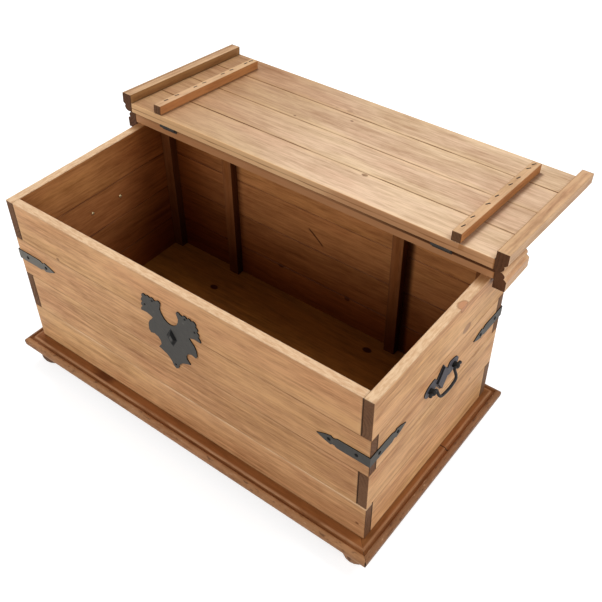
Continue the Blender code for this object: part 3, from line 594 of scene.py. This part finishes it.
def rim_tint(g, colour, board, covered, knot):
    """Pale top of a wall, partly wear and partly a painted highlight, brown where the rear lid board covers
    it.

    A knot comes out at the arris of one wall's rim.
    """
    along, across, _ = g.split(board.place)
    share = g.step(g.noise(board.place, 55.0, 260.0, 3.0, 0.65), -0.2, 0.24)
    rim = g.mix(share, RIM_WEAR_AND_HIGHLIGHT, RIM_WEAR_AND_HIGHLIGHT_DULL)
    if covered:
        start = RIM_STAIN_START - board.middle.y
        rim = g.mix(g.step(along, start, start + 0.03, 0.0, 0.85), rim, RIM_COVERED)
    # The pale top is partly wear and partly a painted highlight
    colour = g.mix(high_face(g, across, board.half[1], 0.8, RIM_FADE), colour, rim)
    if knot:
        spot = (RIM_KNOT - board.middle.y, board.half[1], board.half[2])
        away = g.plus(g.distance(board.place, spot), g.noise(board.place, 60.0, 60.0), 0.008)
        colour = g.mix(g.step(away, 0.012, 0.0155, 0.65, 0.0), colour, RIM_KNOT_BARK)
        colour = g.mix(g.step(away, 0.009, 0.0125, 0.75, 0.0), colour, RIM_KNOT_CORE)
    return colour


def front_tint(g, colour, board, pale_seam):
    """Browner towards the right end of the front, with a pale line along a board's upper edge, partly wear
    and partly a painted highlight.
    """
    along, across, _ = g.split(board.place)
    colour = g.multiply_tint(g.step(along, -0.25, 0.1), colour, FRONT_BROWN)
    if pale_seam:
        breaks = g.step(g.noise(board.place, 9.0, 40.0, 3.0), -0.16, 0.1, 0.0, 0.75)
        # Pale line: partly wear, partly a painted highlight
        pale_line = g.times(breaks, high_face(g, across, board.half[1], 1.0, LINE_FADE))
        colour = g.mix(pale_line, colour, FRONT_WEAR_AND_HIGHLIGHT_LINE)
    return colour


def sill_tint(g, colour, board):
    """Brown dirt along the foot of a wall, above the plinth."""
    _, across, _ = g.split(board.place)
    return g.mix(low_face(g, across, board.half[1], 0.7, SILL_FADE), colour, SILL_DIRT)


def split_tint(g, colour, board):
    """A short slanting split in the inner face of the back wall."""
    first, second = (Vector((x - board.middle.x, z - board.middle.z)) for x, z in SPLIT_ENDS)
    centre = (first + second) / 2
    half_length = (second - first).length / 2
    way = (second - first).normalized()
    along, across, through = g.split(board.place)
    east = g.math("SUBTRACT", along, centre.x)
    up = g.math("SUBTRACT", across, centre.y)
    run = g.plus(g.times(up, way.y), east, way.x)
    off = g.plus(g.times(up, way.x), east, -way.y)
    wander = g.plus(off, g.noise(board.place, 60.0, 60.0), 0.003)
    line = g.step(g.math("ABSOLUTE", wander), 0.0012, 0.0034, 0.85, 0.0)
    ends = g.step(g.math("ABSOLUTE", run), half_length * 0.7, half_length, 1.0, 0.0)
    return g.mix(g.times(line, ends, g.math("LESS_THAN", through, 0.0)), colour, SPLIT_DARK)


def batten_shadow_tint(g, colour, board):
    """A painted shadow on the inner face of the back wall, along the right flank of one batten."""
    along, _, through = g.split(board.place)
    off = g.math("SUBTRACT", along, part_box("back_batten_3")[1].x - board.middle.x)
    beside = g.math("GREATER_THAN", off, -0.02)
    inner = g.math("LESS_THAN", through, 0.0)
    # Painted shadow beside the batten
    return g.mix(g.times(g.step(off, 0.008, 0.022, 0.85, 0.0), beside, inner), colour, BATTEN_SHADOW_PAINT)


def leaf_tint(g, colour, board, hinge_edge):
    """Painted shade towards the left end of the leaf, and a painted shadow along the right foot of each
    batten.

    On the board at the hinges, its hinge edge too: a split along it, and brown towards its right end.
    """
    along, across, through = g.split(board.place)
    # Painted shade towards the left end
    colour = g.multiply_tint(g.step(along, -0.46, 0.14, 1.0, 0.0), colour, LEAF_END_SHADE)
    for side, (width, strength) in BATTEN_SHADOWS.items():
        batten_low, batten_high = closed_corners(f"lid_batten_{side}")
        off = g.math("SUBTRACT", along, batten_high.x - board.middle.x)
        # Painted shadow along the right foot of the batten
        foot = g.step(off, width / 4, width, strength, 0.0)
        beside = g.math("GREATER_THAN", off, -0.002)
        reached = g.math("GREATER_THAN", across, batten_low.y - board.middle.y)
        under = g.math("LESS_THAN", through, 0.0)
        colour = g.mix(g.times(foot, beside, reached, under), colour, BATTEN_FOOT_SHADOW)
    if hinge_edge:
        edge = high_face(g, across, board.half[1], 1.0, EDGE_FADE)
        drift = g.noise(board.place, 8.0, 40.0, 3.0)
        brown = g.step(g.plus(along, drift, 0.3), -0.02, 0.16)
        colour = g.mix(g.times(edge, 0.8), colour, g.mix(brown, HINGE_EDGE_PALE, HINGE_EDGE_BROWN))
        off = g.math("ABSOLUTE", g.plus(through, drift, 0.006))
        line = g.times(edge, g.step(off, 0.0006, 0.0019, 1.0, 0.0), g.step(drift, -0.12, 0.12, 0.75, 0.2))
        colour = g.mix(line, colour, HINGE_EDGE_SPLIT)
    return colour


def rear_board_tint(g, colour, board):
    """The front of the rear lid board, darker than its top as painted shade, with a painted shadow in the
    shelter of the hinge seam.
    """
    along, across, through = g.split(board.place)
    front = low_face(g, across, board.half[1])
    # Painted shade on the front face
    colour = g.mix(g.times(front, 0.85), colour, REAR_FACE_SHADE)
    # Painted shadow in the shelter of the hinge seam
    painted_shade = g.times(front, g.step(through, 0.0042, 0.0066), g.step(along, -0.05, 0.38, 0.15, 0.95))
    return g.mix(painted_shade, colour, REAR_SEAM_SHADOW)


def moulding_tint(g, colour, board, side):
    """Flat, arris pale partly from wear and partly as a painted highlight, groove in painted shade, and
    scuffed nose of the plinth, counted from the nose inwards.

    The front has a spilt stain, and the right side a joint across the moulding.
    """
    along, across, _ = g.split(board.place)
    inward = -1.0 if side in ("back", "right") else 1.0
    nose_stain, ridge_share = (FRONT_NOSE, 0.95) if side == "front" else (SIDE_NOSE, 0.6)
    scuff = g.noise(board.place, 45.0, 130.0, 4.0, 0.65)
    wear = g.noise(board.place, 14.0, 20.0, 3.0, 0.6)
    inset = g.plus(g.plus(board.half[1], across, inward), wear, 0.0024)
    inner = g.step(inset, *NOSE_END)
    flat = g.step(inset, *FLAT_START)
    arris = g.times(g.step(inset, *ARRIS_RISE), g.step(inset, *ARRIS_FALL, 1.0, 0.0))
    nose = g.math("SUBTRACT", 1.0, inner)
    colour = g.multiply_tint(nose, colour, nose_stain)
    colour = g.multiply_tint(g.times(inner, 0.75), colour, MOULDING_STAIN)
    groove = g.math("SUBTRACT", 1.0, g.math("MAXIMUM", flat, arris))
    # Painted shade in the groove
    colour = g.mix(g.times(inner, groove, 0.25), colour, GROOVE_SHADE)
    # The arris is pale partly from wear and partly as a painted highlight
    colour = g.mix(g.times(arris, g.step(wear, -0.2, 0.1, 0.35, ridge_share)), colour, RIDGE_WEAR_AND_HIGHLIGHT)
    colour = g.mix(g.times(nose, g.step(scuff, 0.05, 0.2, 0.0, 0.7)), colour, SCUFF_DARK)
    colour = g.mix(g.times(nose, g.step(scuff, -0.2, -0.06, 0.5, 0.0)), colour, SCUFF_PALE)
    if side == "front":
        reach = g.plus(g.apart(along, PLINTH_STAIN - board.middle.x), wear, 0.06)
        colour = g.mix(g.times(flat, g.step(reach, 0.012, 0.045, 0.7, 0.0)), colour, SPILT_STAIN)
    elif side == "right":
        line = g.step(g.apart(along, PLINTH_JOINT - board.middle.y), 0.0006, 0.0022, 0.85, 0.0)
        colour = g.mix(g.times(inner, line), colour, PLINTH_GAP)
    return colour


def side_tint(g, colour, board):
    """Darkens the narrow sides of a batten."""
    _, _, through = g.split(board.place)
    return g.multiply_tint(high_face(g, g.math("ABSOLUTE", through), board.half[2], 0.9), colour, BATTEN_SIDE_TINT)


def rail_tint(g, colour, board, side):
    """Painted shade on a rail's inner face, and on a left one's underside along the outer edge, with a darker
    painted shade line there.
    """
    along, across, through = g.split(board.place)
    reach = g.times(through, 1.0 if side == "left" else -1.0)
    # Painted shade on the inner face
    colour = g.multiply_tint(high_face(g, reach, board.half[2], 0.9), colour, RAIL_SHADE)
    tip = high_face(g, g.math("ABSOLUTE", along), board.half[0], 0.9, TIP_FADE)
    colour = g.multiply_tint(tip, colour, TIP_STAIN)
    if side == "left":
        under = low_face(g, across, board.half[1])
        outer = g.math("ADD", reach, board.half[2])
        # Painted shade along the outer edge of the underside, and a painted shade line in the quirk
        band = g.times(under, g.step(outer, QUIRK - 0.0005, QUIRK + 0.0005, 0.6, 0.0))
        colour = g.multiply_tint(band, colour, RAIL_SHADE)
        line = g.times(under, g.step(g.apart(outer, QUIRK), 0.0004, 0.0014, 0.6, 0.0))
        colour = g.mix(line, colour, QUIRK_SHADE)
    return colour


def flank_tint(g, colour, board):
    """Painted shade on the flanks of an upright batten, and towards its foot."""
    along, across, _ = g.split(board.place)
    flank = high_face(g, g.math("ABSOLUTE", across), board.half[1], 0.9)
    # Painted shade on the flanks and towards the foot
    for painted_shade in (flank, g.step(along, -0.18, 0.08, 0.8, 0.0)):
        colour = g.multiply_tint(painted_shade, colour, FLANK_SHADE)
    return colour


def wall_tints(wall, course):
    """The tints of one wall board, from the lowest layer up."""
    tints = []
    if wall == "back":
        tints.append((batten_shadow_tint,))
    elif wall == "front":
        tints.append((front_tint, course == 4))
    if course == 1:
        tints.append((rim_tint, wall in SIDES, wall == "right"))
    elif course == 4:
        tints.append((sill_tint,))
    elif wall == "back" and course == 2:
        tints.append((split_tint,))
    return tints


for wall, through_courses in (("front", (2, 4)), ("back", (2, 4)), ("left", (1, 3)), ("right", (1, 3))):
    for course in NUMBERS:
        node = f"{wall}_board_{course}"
        end = OPEN_END if course in through_courses else JOINED_END
        tone = TOP_FRONT_TONE if node == "front_board_1" else WALL_TONE
        tints = wall_tints(wall, course)
        pine(node, WALL, seam=(0.4, 0.3), tone=tone, wear=0.4, end=end, tints=tints, inside=True)
for number, seam, tone in zip(NUMBERS, LID_SEAMS, LID_TONES):
    tints = [(leaf_tint, number == 1)]
    pine(f"lid_board_{number}", LID, seam=seam, tone=tone, wear=0.8, end=JOINED_END, tints=tints)
for number in NUMBERS:
    pine(f"back_batten_{number}", BATTEN, wear=0.3, tints=[(flank_tint,)])
pine("floor_panel", BOTTOM, wear=0.0)
pine("rear_lid_board", LID, tone=0.28, end=JOINED_END, tints=[(rear_board_tint,)])
for side in SIDES:
    pine(f"lid_batten_{side}", RAIL, tone=0.2, tints=[(side_tint,)])
    for node in (f"lid_rail_{side}", f"rear_lid_rail_{side}"):
        pine(node, RAIL, tone=0.4, tints=[(rail_tint, side)])
for side in ("front", "back", "left", "right"):
    tone = 0.1 if side == "front" else 0.3
    pine(f"plinth_{side}", BASE, tone=tone, end=JOINED_END, tints=[(moulding_tint, side)])
# The feet on the left take the darker copy of the plinth wood as painted shade
for foot in ("front_left", "front_right", "back_left", "back_right"):
    pine(f"foot_{foot}", SHADED_FOOT_WOOD if foot.endswith("left") else BASE, tone=0.4)

# Dark and light tone of each iron, in display values, and how much lighter its rubbed spots are
BLACK = ((50, 48, 45), (82, 79, 74))
# A lighter copy of the black iron: painted sheen on the front left strap
STRAP_SHEEN = ((84, 81, 76), (122, 117, 108))
HANDLE = ((58, 55, 59), (90, 86, 91))
BAIL = ((34, 33, 33), (62, 60, 60))
BOLT = ((20, 20, 20), (42, 41, 40))
STAPLE = ((22, 15, 10), (36, 26, 19))
SCREW = ((44, 42, 40), (76, 72, 68))
NAIL = ((14, 13, 12), (34, 33, 32))
RUBBED = 24

# Black of the nail heads and of painted shade on iron faces that look sideways, the painted shadow ring round
# the boss, and the bare clenched ends of the bolts
NAIL_AND_SHADE_BLACK = srgb(14, 13, 12)
RING_SHADOW = srgb(10, 10, 9)
BARE_DARK = srgb(172, 148, 104)
BARE_LIGHT = srgb(226, 208, 168)

# Places of the nails along a strap, from the corner of the box
STRAP_NAILS = (0.027, 0.086)


def iron(name, tones=BLACK, bare_inside=False, facing=(), nails=None, ring=None):
    """Black lacquered iron, mottled and dented, with rubbed spots.

    Clenched ends inside the box are bare. Faces that don't look along one of the facing axes are blacker, as
    painted shade. The nail heads are black too, given as the corner of the box that a strap goes round and
    the strap's middle height, and so is a painted shadow ring round the boss, given as the boss's box.
    """
    material, g, shader, place = new_material(name)
    dark, light = tones
    mottle = g.noise(place, 70.0, 70.0, 4.0, 0.6)
    dents = g.noise(place, 190.0, 190.0, 1.0)
    grit = g.noise(place, 900.0, 900.0)
    tone = g.plus(g.plus(0.5, mottle, 1.1), grit, 0.35, clamp=True)
    colour = g.mix(tone, srgb(*dark), srgb(*light))
    rub = g.step(g.plus(mottle, grit, 0.3), 0.16, 0.32, 0.0, 0.5)
    colour = g.mix(rub, colour, srgb(*(value + RUBBED for value in light)))
    if facing:
        normal = g.split(g.node("ShaderNodeNewGeometry").outputs["True Normal"])
        looks = [g.math("ABSOLUTE", normal[axis]) for axis in facing]
        most = looks[0] if len(looks) == 1 else g.math("MAXIMUM", *looks)
        # Painted shade on faces that look sideways
        colour = g.mix(g.step(most, 0.9, 0.98, 0.9, 0.0), colour, NAIL_AND_SHADE_BLACK)
    if nails:
        x, y, z = g.split(g.vector("SUBTRACT", place, nails))
        along = g.math("MAXIMUM", g.math("ABSOLUTE", x), g.math("ABSOLUTE", y))
        for reach in STRAP_NAILS:
            away = g.length(g.math("SUBTRACT", along, reach), z)
            colour = g.mix(g.step(away, 0.0036, 0.0046, 0.9, 0.0), colour, NAIL_AND_SHADE_BLACK)
    if ring:
        centre, half = (ring[0] + ring[1]) / 2, (ring[1] - ring[0]) / 2
        x, _, z = g.split(g.vector("ABSOLUTE", g.vector("SUBTRACT", place, tuple(centre))))
        reach = g.math("ADD", g.math("DIVIDE", x, half.x), g.math("DIVIDE", z, half.z))
        # Painted shadow ring round the boss
        ring_shadow_share = g.times(g.step(reach, 0.36, 0.45), g.step(reach, 1.12, 1.24, 0.95, 0.0))
        colour = g.mix(ring_shadow_share, colour, RING_SHADOW)
    if bare_inside:
        within = inside_share(g, place)
        colour = g.mix(within, colour, g.mix(tone, BARE_DARK, BARE_LIGHT))
        g.set(shader.inputs["Metallic"], g.times(within, 0.8))
    height = g.plus(g.times(grit, 0.25), dents, 1.0)
    finish_shader(g, shader, colour, g.plus(0.5, mottle, 0.4), height, IRON_BUMP)
    return material


def strap_iron(node):
    """The iron of one corner strap, with its nails in their places."""
    end, side = node.split("_")[1:]
    side_low, side_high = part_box(f"{side}_board_1")
    end_low, end_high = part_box(f"{end}_board_1")
    low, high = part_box(node)
    x = side_low.x if side == "left" else side_high.x
    y = end_low.y if end == "front" else end_high.y
    # The front left strap is lighter, as a painted sheen
    tones = STRAP_SHEEN if node == "strap_front_left" else BLACK
    return iron(node + "_lacquer", tones, facing=(0, 1), nails=(x, y, (low.z + high.z) / 2))


IRONS = {
    "handle": iron("handle_iron_lacquer", HANDLE, facing=(0,)),
    "bail": iron("bail_iron_lacquer", BAIL),
    "eye_bolt": iron("eye_bolt_lacquer", BOLT, bare_inside=True),
    "lock": iron("lock_iron_lacquer", facing=(1,), ring=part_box("lock_boss")),
    "hinge": iron("hinge_iron_lacquer"),
}
for node in NODES:
    if node.startswith("strap"):
        dress(node, strap_iron(node))
    for start, metal in IRONS.items():
        if node.startswith(start):
            dress(node, metal)

# Tongues that close the joints between boards, as thick as the joint and this much more on each side
TONGUE_BITE = 0.0002
TONGUE_HALF = 0.004
TONGUE_END = 0.001

# Wire staples: sizes, places on the lid boards, turns, and how far they stray along x, y and in turn
STAPLE_HALF = 0.0066
STAPLE_LEG = 0.003
STAPLE_BEND = 0.0012
STAPLE_WIDE = 0.0015
STAPLE_HIGH = 0.0006
STAPLE_PROUD = 0.0006
STAPLE_STEPS = 8
STAPLE_PAIRS = (0.0175, 0.0175, 0.0175, 0.010)
STAPLE_SHIFT = -0.0030
STAPLE_TURNS = {"left": 4.0, "right": 22.0}
STRAY_X = 0.0012
STRAY_Y = 0.004
STRAY_TURN = 8

# Slotted screws of the hinges, and domed nails of the lock plate
SCREW_RADIUS = 0.0031
SCREW_PROUD = 0.0007
SCREW_SLOT = 0.0008
SCREW_SLOT_DEPTH = 0.0005
SCREW_ROOT = 0.0004
SCREW_CHAMFER = 0.0003
FLAP_SCREWS = (-0.0145, 0.0, 0.0145)
FLAP_SCREW_REACH = 0.015
FLAP_TIP = 0.002
PLATE_SCREWS = (-0.0125, 0.0125)
PLATE_SCREW_RISE = 0.0033
PLATE_SCREW_SCALE = 0.65
PLATE_FACE_DEPTH = 0.0012
LOCK_NAIL_RADIUS = 0.0025
LOCK_NAIL_HEIGHT = 0.0014
LOCK_NAIL_PLACES = ((0.0425, 0.0537), (0.065, 0.074), (0.0, 0.2005))
LOCK_NAIL_LIFTS = (-20, 0, 25, 48, 68, 84)
ROUND_STEPS = 20

FACING_DOWN = Matrix.Rotation(math.pi, 4, "X")
FACING_FRONT = Matrix.Rotation(math.pi / 2, 4, "X")


def skin(shape, rings):
    """Joins rings of points into a closed tube with capped ends."""
    loops = [[shape.verts.new(point) for point in ring] for ring in rings]
    for lower, upper in zip(loops, loops[1:]):
        for index in range(len(lower)):
            after = (index + 1) % len(lower)
            shape.faces.new((lower[index], lower[after], upper[after], upper[index]))
    shape.faces.new(reversed(loops[0]))
    shape.faces.new(loops[-1])


def circle(radius, steps):
    turns = [step * math.tau / steps for step in range(steps)]
    return [(radius * math.cos(turn), radius * math.sin(turn)) for turn in turns]


def add_staple(shape, place):
    """A staple on the plane z = 0 with its crown along y and its legs going down, moved by a matrix."""
    path = [(-STAPLE_HALF, -STAPLE_LEG), (-STAPLE_HALF, -STAPLE_BEND)]
    path += [(-STAPLE_HALF + STAPLE_BEND, 0.0), (STAPLE_HALF - STAPLE_BEND, 0.0)]
    path += [(STAPLE_HALF, -STAPLE_BEND), (STAPLE_HALF, -STAPLE_LEG)]
    lift = STAPLE_PROUD - STAPLE_HIGH
    rings = []
    for index, (y, z) in enumerate(path):
        before = path[max(index - 1, 0)]
        after = path[min(index + 1, len(path) - 1)]
        along = Vector((0.0, after[0] - before[0], after[1] - before[1])).normalized()
        outward = Vector((0.0, -along.z, along.y))
        ring = []
        for wide, high in circle(1.0, STAPLE_STEPS):
            offset = Vector((wide * STAPLE_WIDE, 0.0, 0.0)) + outward * high * STAPLE_HIGH
            ring.append(place @ (Vector((0.0, y, z + lift)) + offset))
        rings.append(ring)
    skin(shape, rings)


def add_prism(shape, outline, low, high, place):
    """A prism with a chamfered top, on an outline in x and y, moved by a matrix."""
    middle = Vector((sum(x for x, _ in outline), sum(y for _, y in outline))) / len(outline)
    rings = []
    for z, shrink in ((low, 0.0), (high - SCREW_CHAMFER, 0.0), (high, SCREW_CHAMFER)):
        ring = []
        for x, y in outline:
            point = Vector((x, y))
            point -= (point - middle).normalized() * shrink
            ring.append(place @ Vector((point.x, point.y, z)))
        rings.append(ring)
    skin(shape, rings)


def add_screw(shape, place):
    """A slotted screw head on the plane z = 0, moved by a matrix."""
    add_prism(shape, circle(SCREW_RADIUS, ROUND_STEPS), -SCREW_ROOT, SCREW_PROUD - SCREW_SLOT_DEPTH, place)
    limit = math.acos(SCREW_SLOT / 2 / SCREW_RADIUS)
    for side in (0.0, math.pi):
        half = []
        for step in range(ROUND_STEPS // 2 + 1):
            turn = side - limit + step * 2 * limit / (ROUND_STEPS // 2)
            half.append((SCREW_RADIUS * math.cos(turn), SCREW_RADIUS * math.sin(turn)))
        add_prism(shape, half, 0.0, SCREW_PROUD, place)


def add_nail(shape, place):
    """A domed nail head on the plane z = 0, moved by a matrix."""
    rings = []
    for lift in LOCK_NAIL_LIFTS:
        radius = LOCK_NAIL_RADIUS * math.cos(math.radians(max(lift, 0)))
        z = LOCK_NAIL_HEIGHT * math.sin(math.radians(lift))
        rings.append([place @ Vector((x, y, z)) for x, y in circle(radius, ROUND_STEPS)])
    skin(shape, rings)


def add_tongue(shape, first, second, turn=STAYS):
    """A thin tongue in the joint between two boards, given as their boxes in the closed pose."""
    low = Vector(map(max, first[0], second[0]))
    high = Vector(map(min, first[1], second[1]))
    across = min(range(3), key=lambda axis: high[axis] - low[axis])
    low[across], high[across] = high[across] - TONGUE_BITE, low[across] + TONGUE_BITE
    rest = sorted((axis for axis in range(3) if axis != across), key=lambda axis: high[axis] - low[axis])
    middle = (low[rest[0]] + high[rest[0]]) / 2
    low[rest[0]], high[rest[0]] = middle - TONGUE_HALF, middle + TONGUE_HALF
    low[rest[1]] += TONGUE_END
    high[rest[1]] -= TONGUE_END
    rings = []
    for x in (low.x, high.x):
        corners = ((low.y, low.z), (high.y, low.z), (high.y, high.z), (low.y, high.z))
        rings.append([turn @ Vector((x, y, z)) for y, z in corners])
    skin(shape, rings)


def piece(name, shape, material, body, smooth=True):
    mesh = bpy.data.meshes.new(name)
    bmesh.ops.recalc_face_normals(shape, faces=shape.faces)
    for face in shape.faces:
        face.smooth = smooth
    shape.to_mesh(mesh)
    shape.free()
    mesh.materials.append(material)
    made = bpy.data.objects.new(name, mesh)
    bpy.context.scene.collection.objects.link(made)
    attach(made, body)


def glue(name, dark, light):
    """Old brown glue and dust in the joints."""
    material, g, shader, place = new_material(name)
    tone = g.math("ADD", g.noise(place, 60.0, 60.0, 4.0), 0.5)
    g.set(shader.inputs["Base Color"], g.mix(tone, srgb(*dark), srgb(*light)))
    g.set(shader.inputs["Roughness"], g.plus(0.65, tone, 0.2))
    return material


def make_staples(side, steel):
    """Two staples where a lid batten crosses each board of the leaf."""
    rng = random.Random("staples " + side)
    low, high = closed_corners(f"lid_batten_{side}")
    shape = bmesh.new()
    for number, pair in zip(NUMBERS, STAPLE_PAIRS):
        board_low, board_high = closed_corners(f"lid_board_{number}")
        middle = (max(board_low.y, low.y) + min(board_high.y, high.y)) / 2
        for offset in (-pair, pair):
            x = (low.x + high.x) / 2 + STAPLE_SHIFT + rng.uniform(-STRAY_X, STRAY_X)
            y = middle + offset + rng.uniform(-STRAY_Y, STRAY_Y)
            angle = math.radians(STAPLE_TURNS[side] + rng.uniform(-STRAY_TURN, STRAY_TURN))
            turn = Matrix.Rotation(angle, 4, "Z")
            add_staple(shape, TO_OPEN @ Matrix.Translation((x, y, low.z)) @ turn @ FACING_DOWN)
    piece(f"staples_{side}", shape, steel, "lid")


def make_hinge_screws(side, metal):
    """The screws of one hinge: those of its flap on the leaf, then those of its plate."""
    rng = random.Random("screws " + side)
    low, high = closed_corners(f"hinge_flap_{side}")
    middle = (low.x + high.x) / 2
    closed = [TO_CLOSED @ vertex.co for vertex in NODES[f"hinge_flap_{side}"].data.vertices]
    flap_top = max(point.z for point in closed if point.y < low.y + FLAP_TIP)
    shape = bmesh.new()
    for across in FLAP_SCREWS:
        turn = Matrix.Rotation(rng.uniform(0, math.pi), 4, "Z")
        spot = Matrix.Translation((middle + across, AXIS.y - FLAP_SCREW_REACH, flap_top))
        add_screw(shape, TO_OPEN @ spot @ turn)
    piece(f"flap_screws_{side}", shape, metal, "lid", smooth=False)

    low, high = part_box(f"hinge_plate_{side}")
    shape = bmesh.new()
    for across in PLATE_SCREWS:
        turn = Matrix.Rotation(rng.uniform(0, math.pi), 4, "Z")
        spot = Matrix.Translation((middle + across, high.y - PLATE_FACE_DEPTH, low.z + PLATE_SCREW_RISE))
        add_screw(shape, spot @ FACING_FRONT @ turn @ Matrix.Scale(PLATE_SCREW_SCALE, 4))
    piece(f"plate_screws_{side}", shape, metal, "trunk", smooth=False)


def make_wall_tongues(material):
    shape = bmesh.new()
    for wall in ("front", "back", "left", "right"):
        for course in NUMBERS[:-1]:
            add_tongue(shape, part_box(f"{wall}_board_{course}"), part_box(f"{wall}_board_{course + 1}"))
    for long_wall in ("front", "back"):
        for side in SIDES:
            for course in NUMBERS:
                add_tongue(shape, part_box(f"{long_wall}_board_{course}"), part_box(f"{side}_board_{course}"))
    for side in SIDES:
        add_tongue(shape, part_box("rear_lid_board"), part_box(f"rear_lid_rail_{side}"))
    piece("wall_tongues", shape, material, "trunk", smooth=False)


def make_lid_tongues(material):
    shape = bmesh.new()
    boards = [closed_corners(f"lid_board_{number}") for number in NUMBERS]
    for first, second in zip(boards, boards[1:]):
        add_tongue(shape, first, second, TO_OPEN)
    for side in SIDES:
        for board in boards:
            add_tongue(shape, board, closed_corners(f"lid_rail_{side}"), TO_OPEN)
    piece("lid_tongues", shape, material, "lid", smooth=False)


def make_lock_nails(metal):
    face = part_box("lock_plate")[0].y
    shape = bmesh.new()
    for across, drop in LOCK_NAIL_PLACES:
        for x in sorted({-across, across}):
            add_nail(shape, Matrix.Translation((x, face, WALL_TOP - drop)) @ FACING_FRONT)
    piece("lock_nails", shape, metal, "trunk")


STAPLE_STEEL = iron("staple_steel", STAPLE)
SCREW_IRON = iron("screw_iron", SCREW)
for side in SIDES:
    make_staples(side, STAPLE_STEEL)
    make_hinge_screws(side, SCREW_IRON)
make_wall_tongues(glue("wall_glue", (70, 38, 18), (112, 68, 36)))
make_lid_tongues(glue("lid_glue", (98, 58, 28), (136, 86, 46)))
make_lock_nails(iron("nail_iron", NAIL))


def seen_share(g):
    """1 where a thing is looked at, also in a mirror or through glass, and 0 where it only gives light."""
    path = g.node("ShaderNodeLightPath").outputs
    seen = g.math("MAXIMUM", path["Is Camera Ray"], path["Is Glossy Ray"])
    return g.math("MAXIMUM", seen, path["Is Transmission Ray"])


def make_floor():
    corners = ((-1, -1), (1, -1), (1, 1), (-1, 1))
    mesh = bpy.data.meshes.new("floor")
    mesh.from_pydata([(x * FLOOR_HALF, y * FLOOR_HALF, 0.0) for x, y in corners], [], [(0, 1, 2, 3)])
    floor = bpy.data.objects.new("studio_floor", mesh)
    bpy.context.scene.collection.objects.link(floor)
    material = bpy.data.materials.new("studio_floor")
    material.use_nodes = True
    g = Graph(material.node_tree)
    shader = material.node_tree.nodes["Principled BSDF"]
    shader.inputs["Base Color"].default_value = FLOOR_GREY
    shader.inputs["Roughness"].default_value = 1.0
    shader.inputs["Specular IOR Level"].default_value = 0.0
    shader.inputs["Emission Color"].default_value = WHITE
    g.set(shader.inputs["Emission Strength"], g.times(seen_share(g), FLOOR_GLOW))
    mesh.materials.append(material)


def make_world():
    world = bpy.data.worlds.new("studio")
    bpy.context.scene.world = world
    world.use_nodes = True
    g = Graph(world.node_tree)
    background = world.node_tree.nodes["Background"]
    background.inputs["Color"].default_value = WHITE
    g.set(background.inputs["Strength"], g.plus(WORLD_LIGHT, seen_share(g), WORLD_SEEN))


def make_softbox(name, place, aim, width, height, power):
    data = bpy.data.lights.new(name, "AREA")
    data.shape = "RECTANGLE"
    data.size = width
    data.size_y = height
    data.energy = power
    lamp = bpy.data.objects.new(name, data)
    bpy.context.scene.collection.objects.link(lamp)
    lamp.location = place
    lamp.rotation_euler = (Vector(aim) - Vector(place)).to_track_quat("-Z", "Y").to_euler()


def make_camera():
    data = bpy.data.cameras.new("camera")
    data.lens = CAMERA_LENS
    data.sensor_width = CAMERA_SENSOR
    camera = bpy.data.objects.new("camera", data)
    bpy.context.scene.collection.objects.link(camera)
    forward = CAMERA_FORWARD.normalized()
    level = forward.cross(Vector((0.0, 0.0, 1.0))).normalized()
    upright = level.cross(forward)
    right = math.cos(CAMERA_ROLL) * level + math.sin(CAMERA_ROLL) * upright
    up = math.cos(CAMERA_ROLL) * upright - math.sin(CAMERA_ROLL) * level
    axes = Matrix((right, up, -forward)).transposed().to_4x4()
    camera.matrix_world = Matrix.Translation(CAMERA_PLACE) @ axes
    bpy.context.scene.camera = camera


make_floor()
make_world()
for name, settings in SOFTBOXES.items():
    make_softbox(name, *settings)
make_camera()
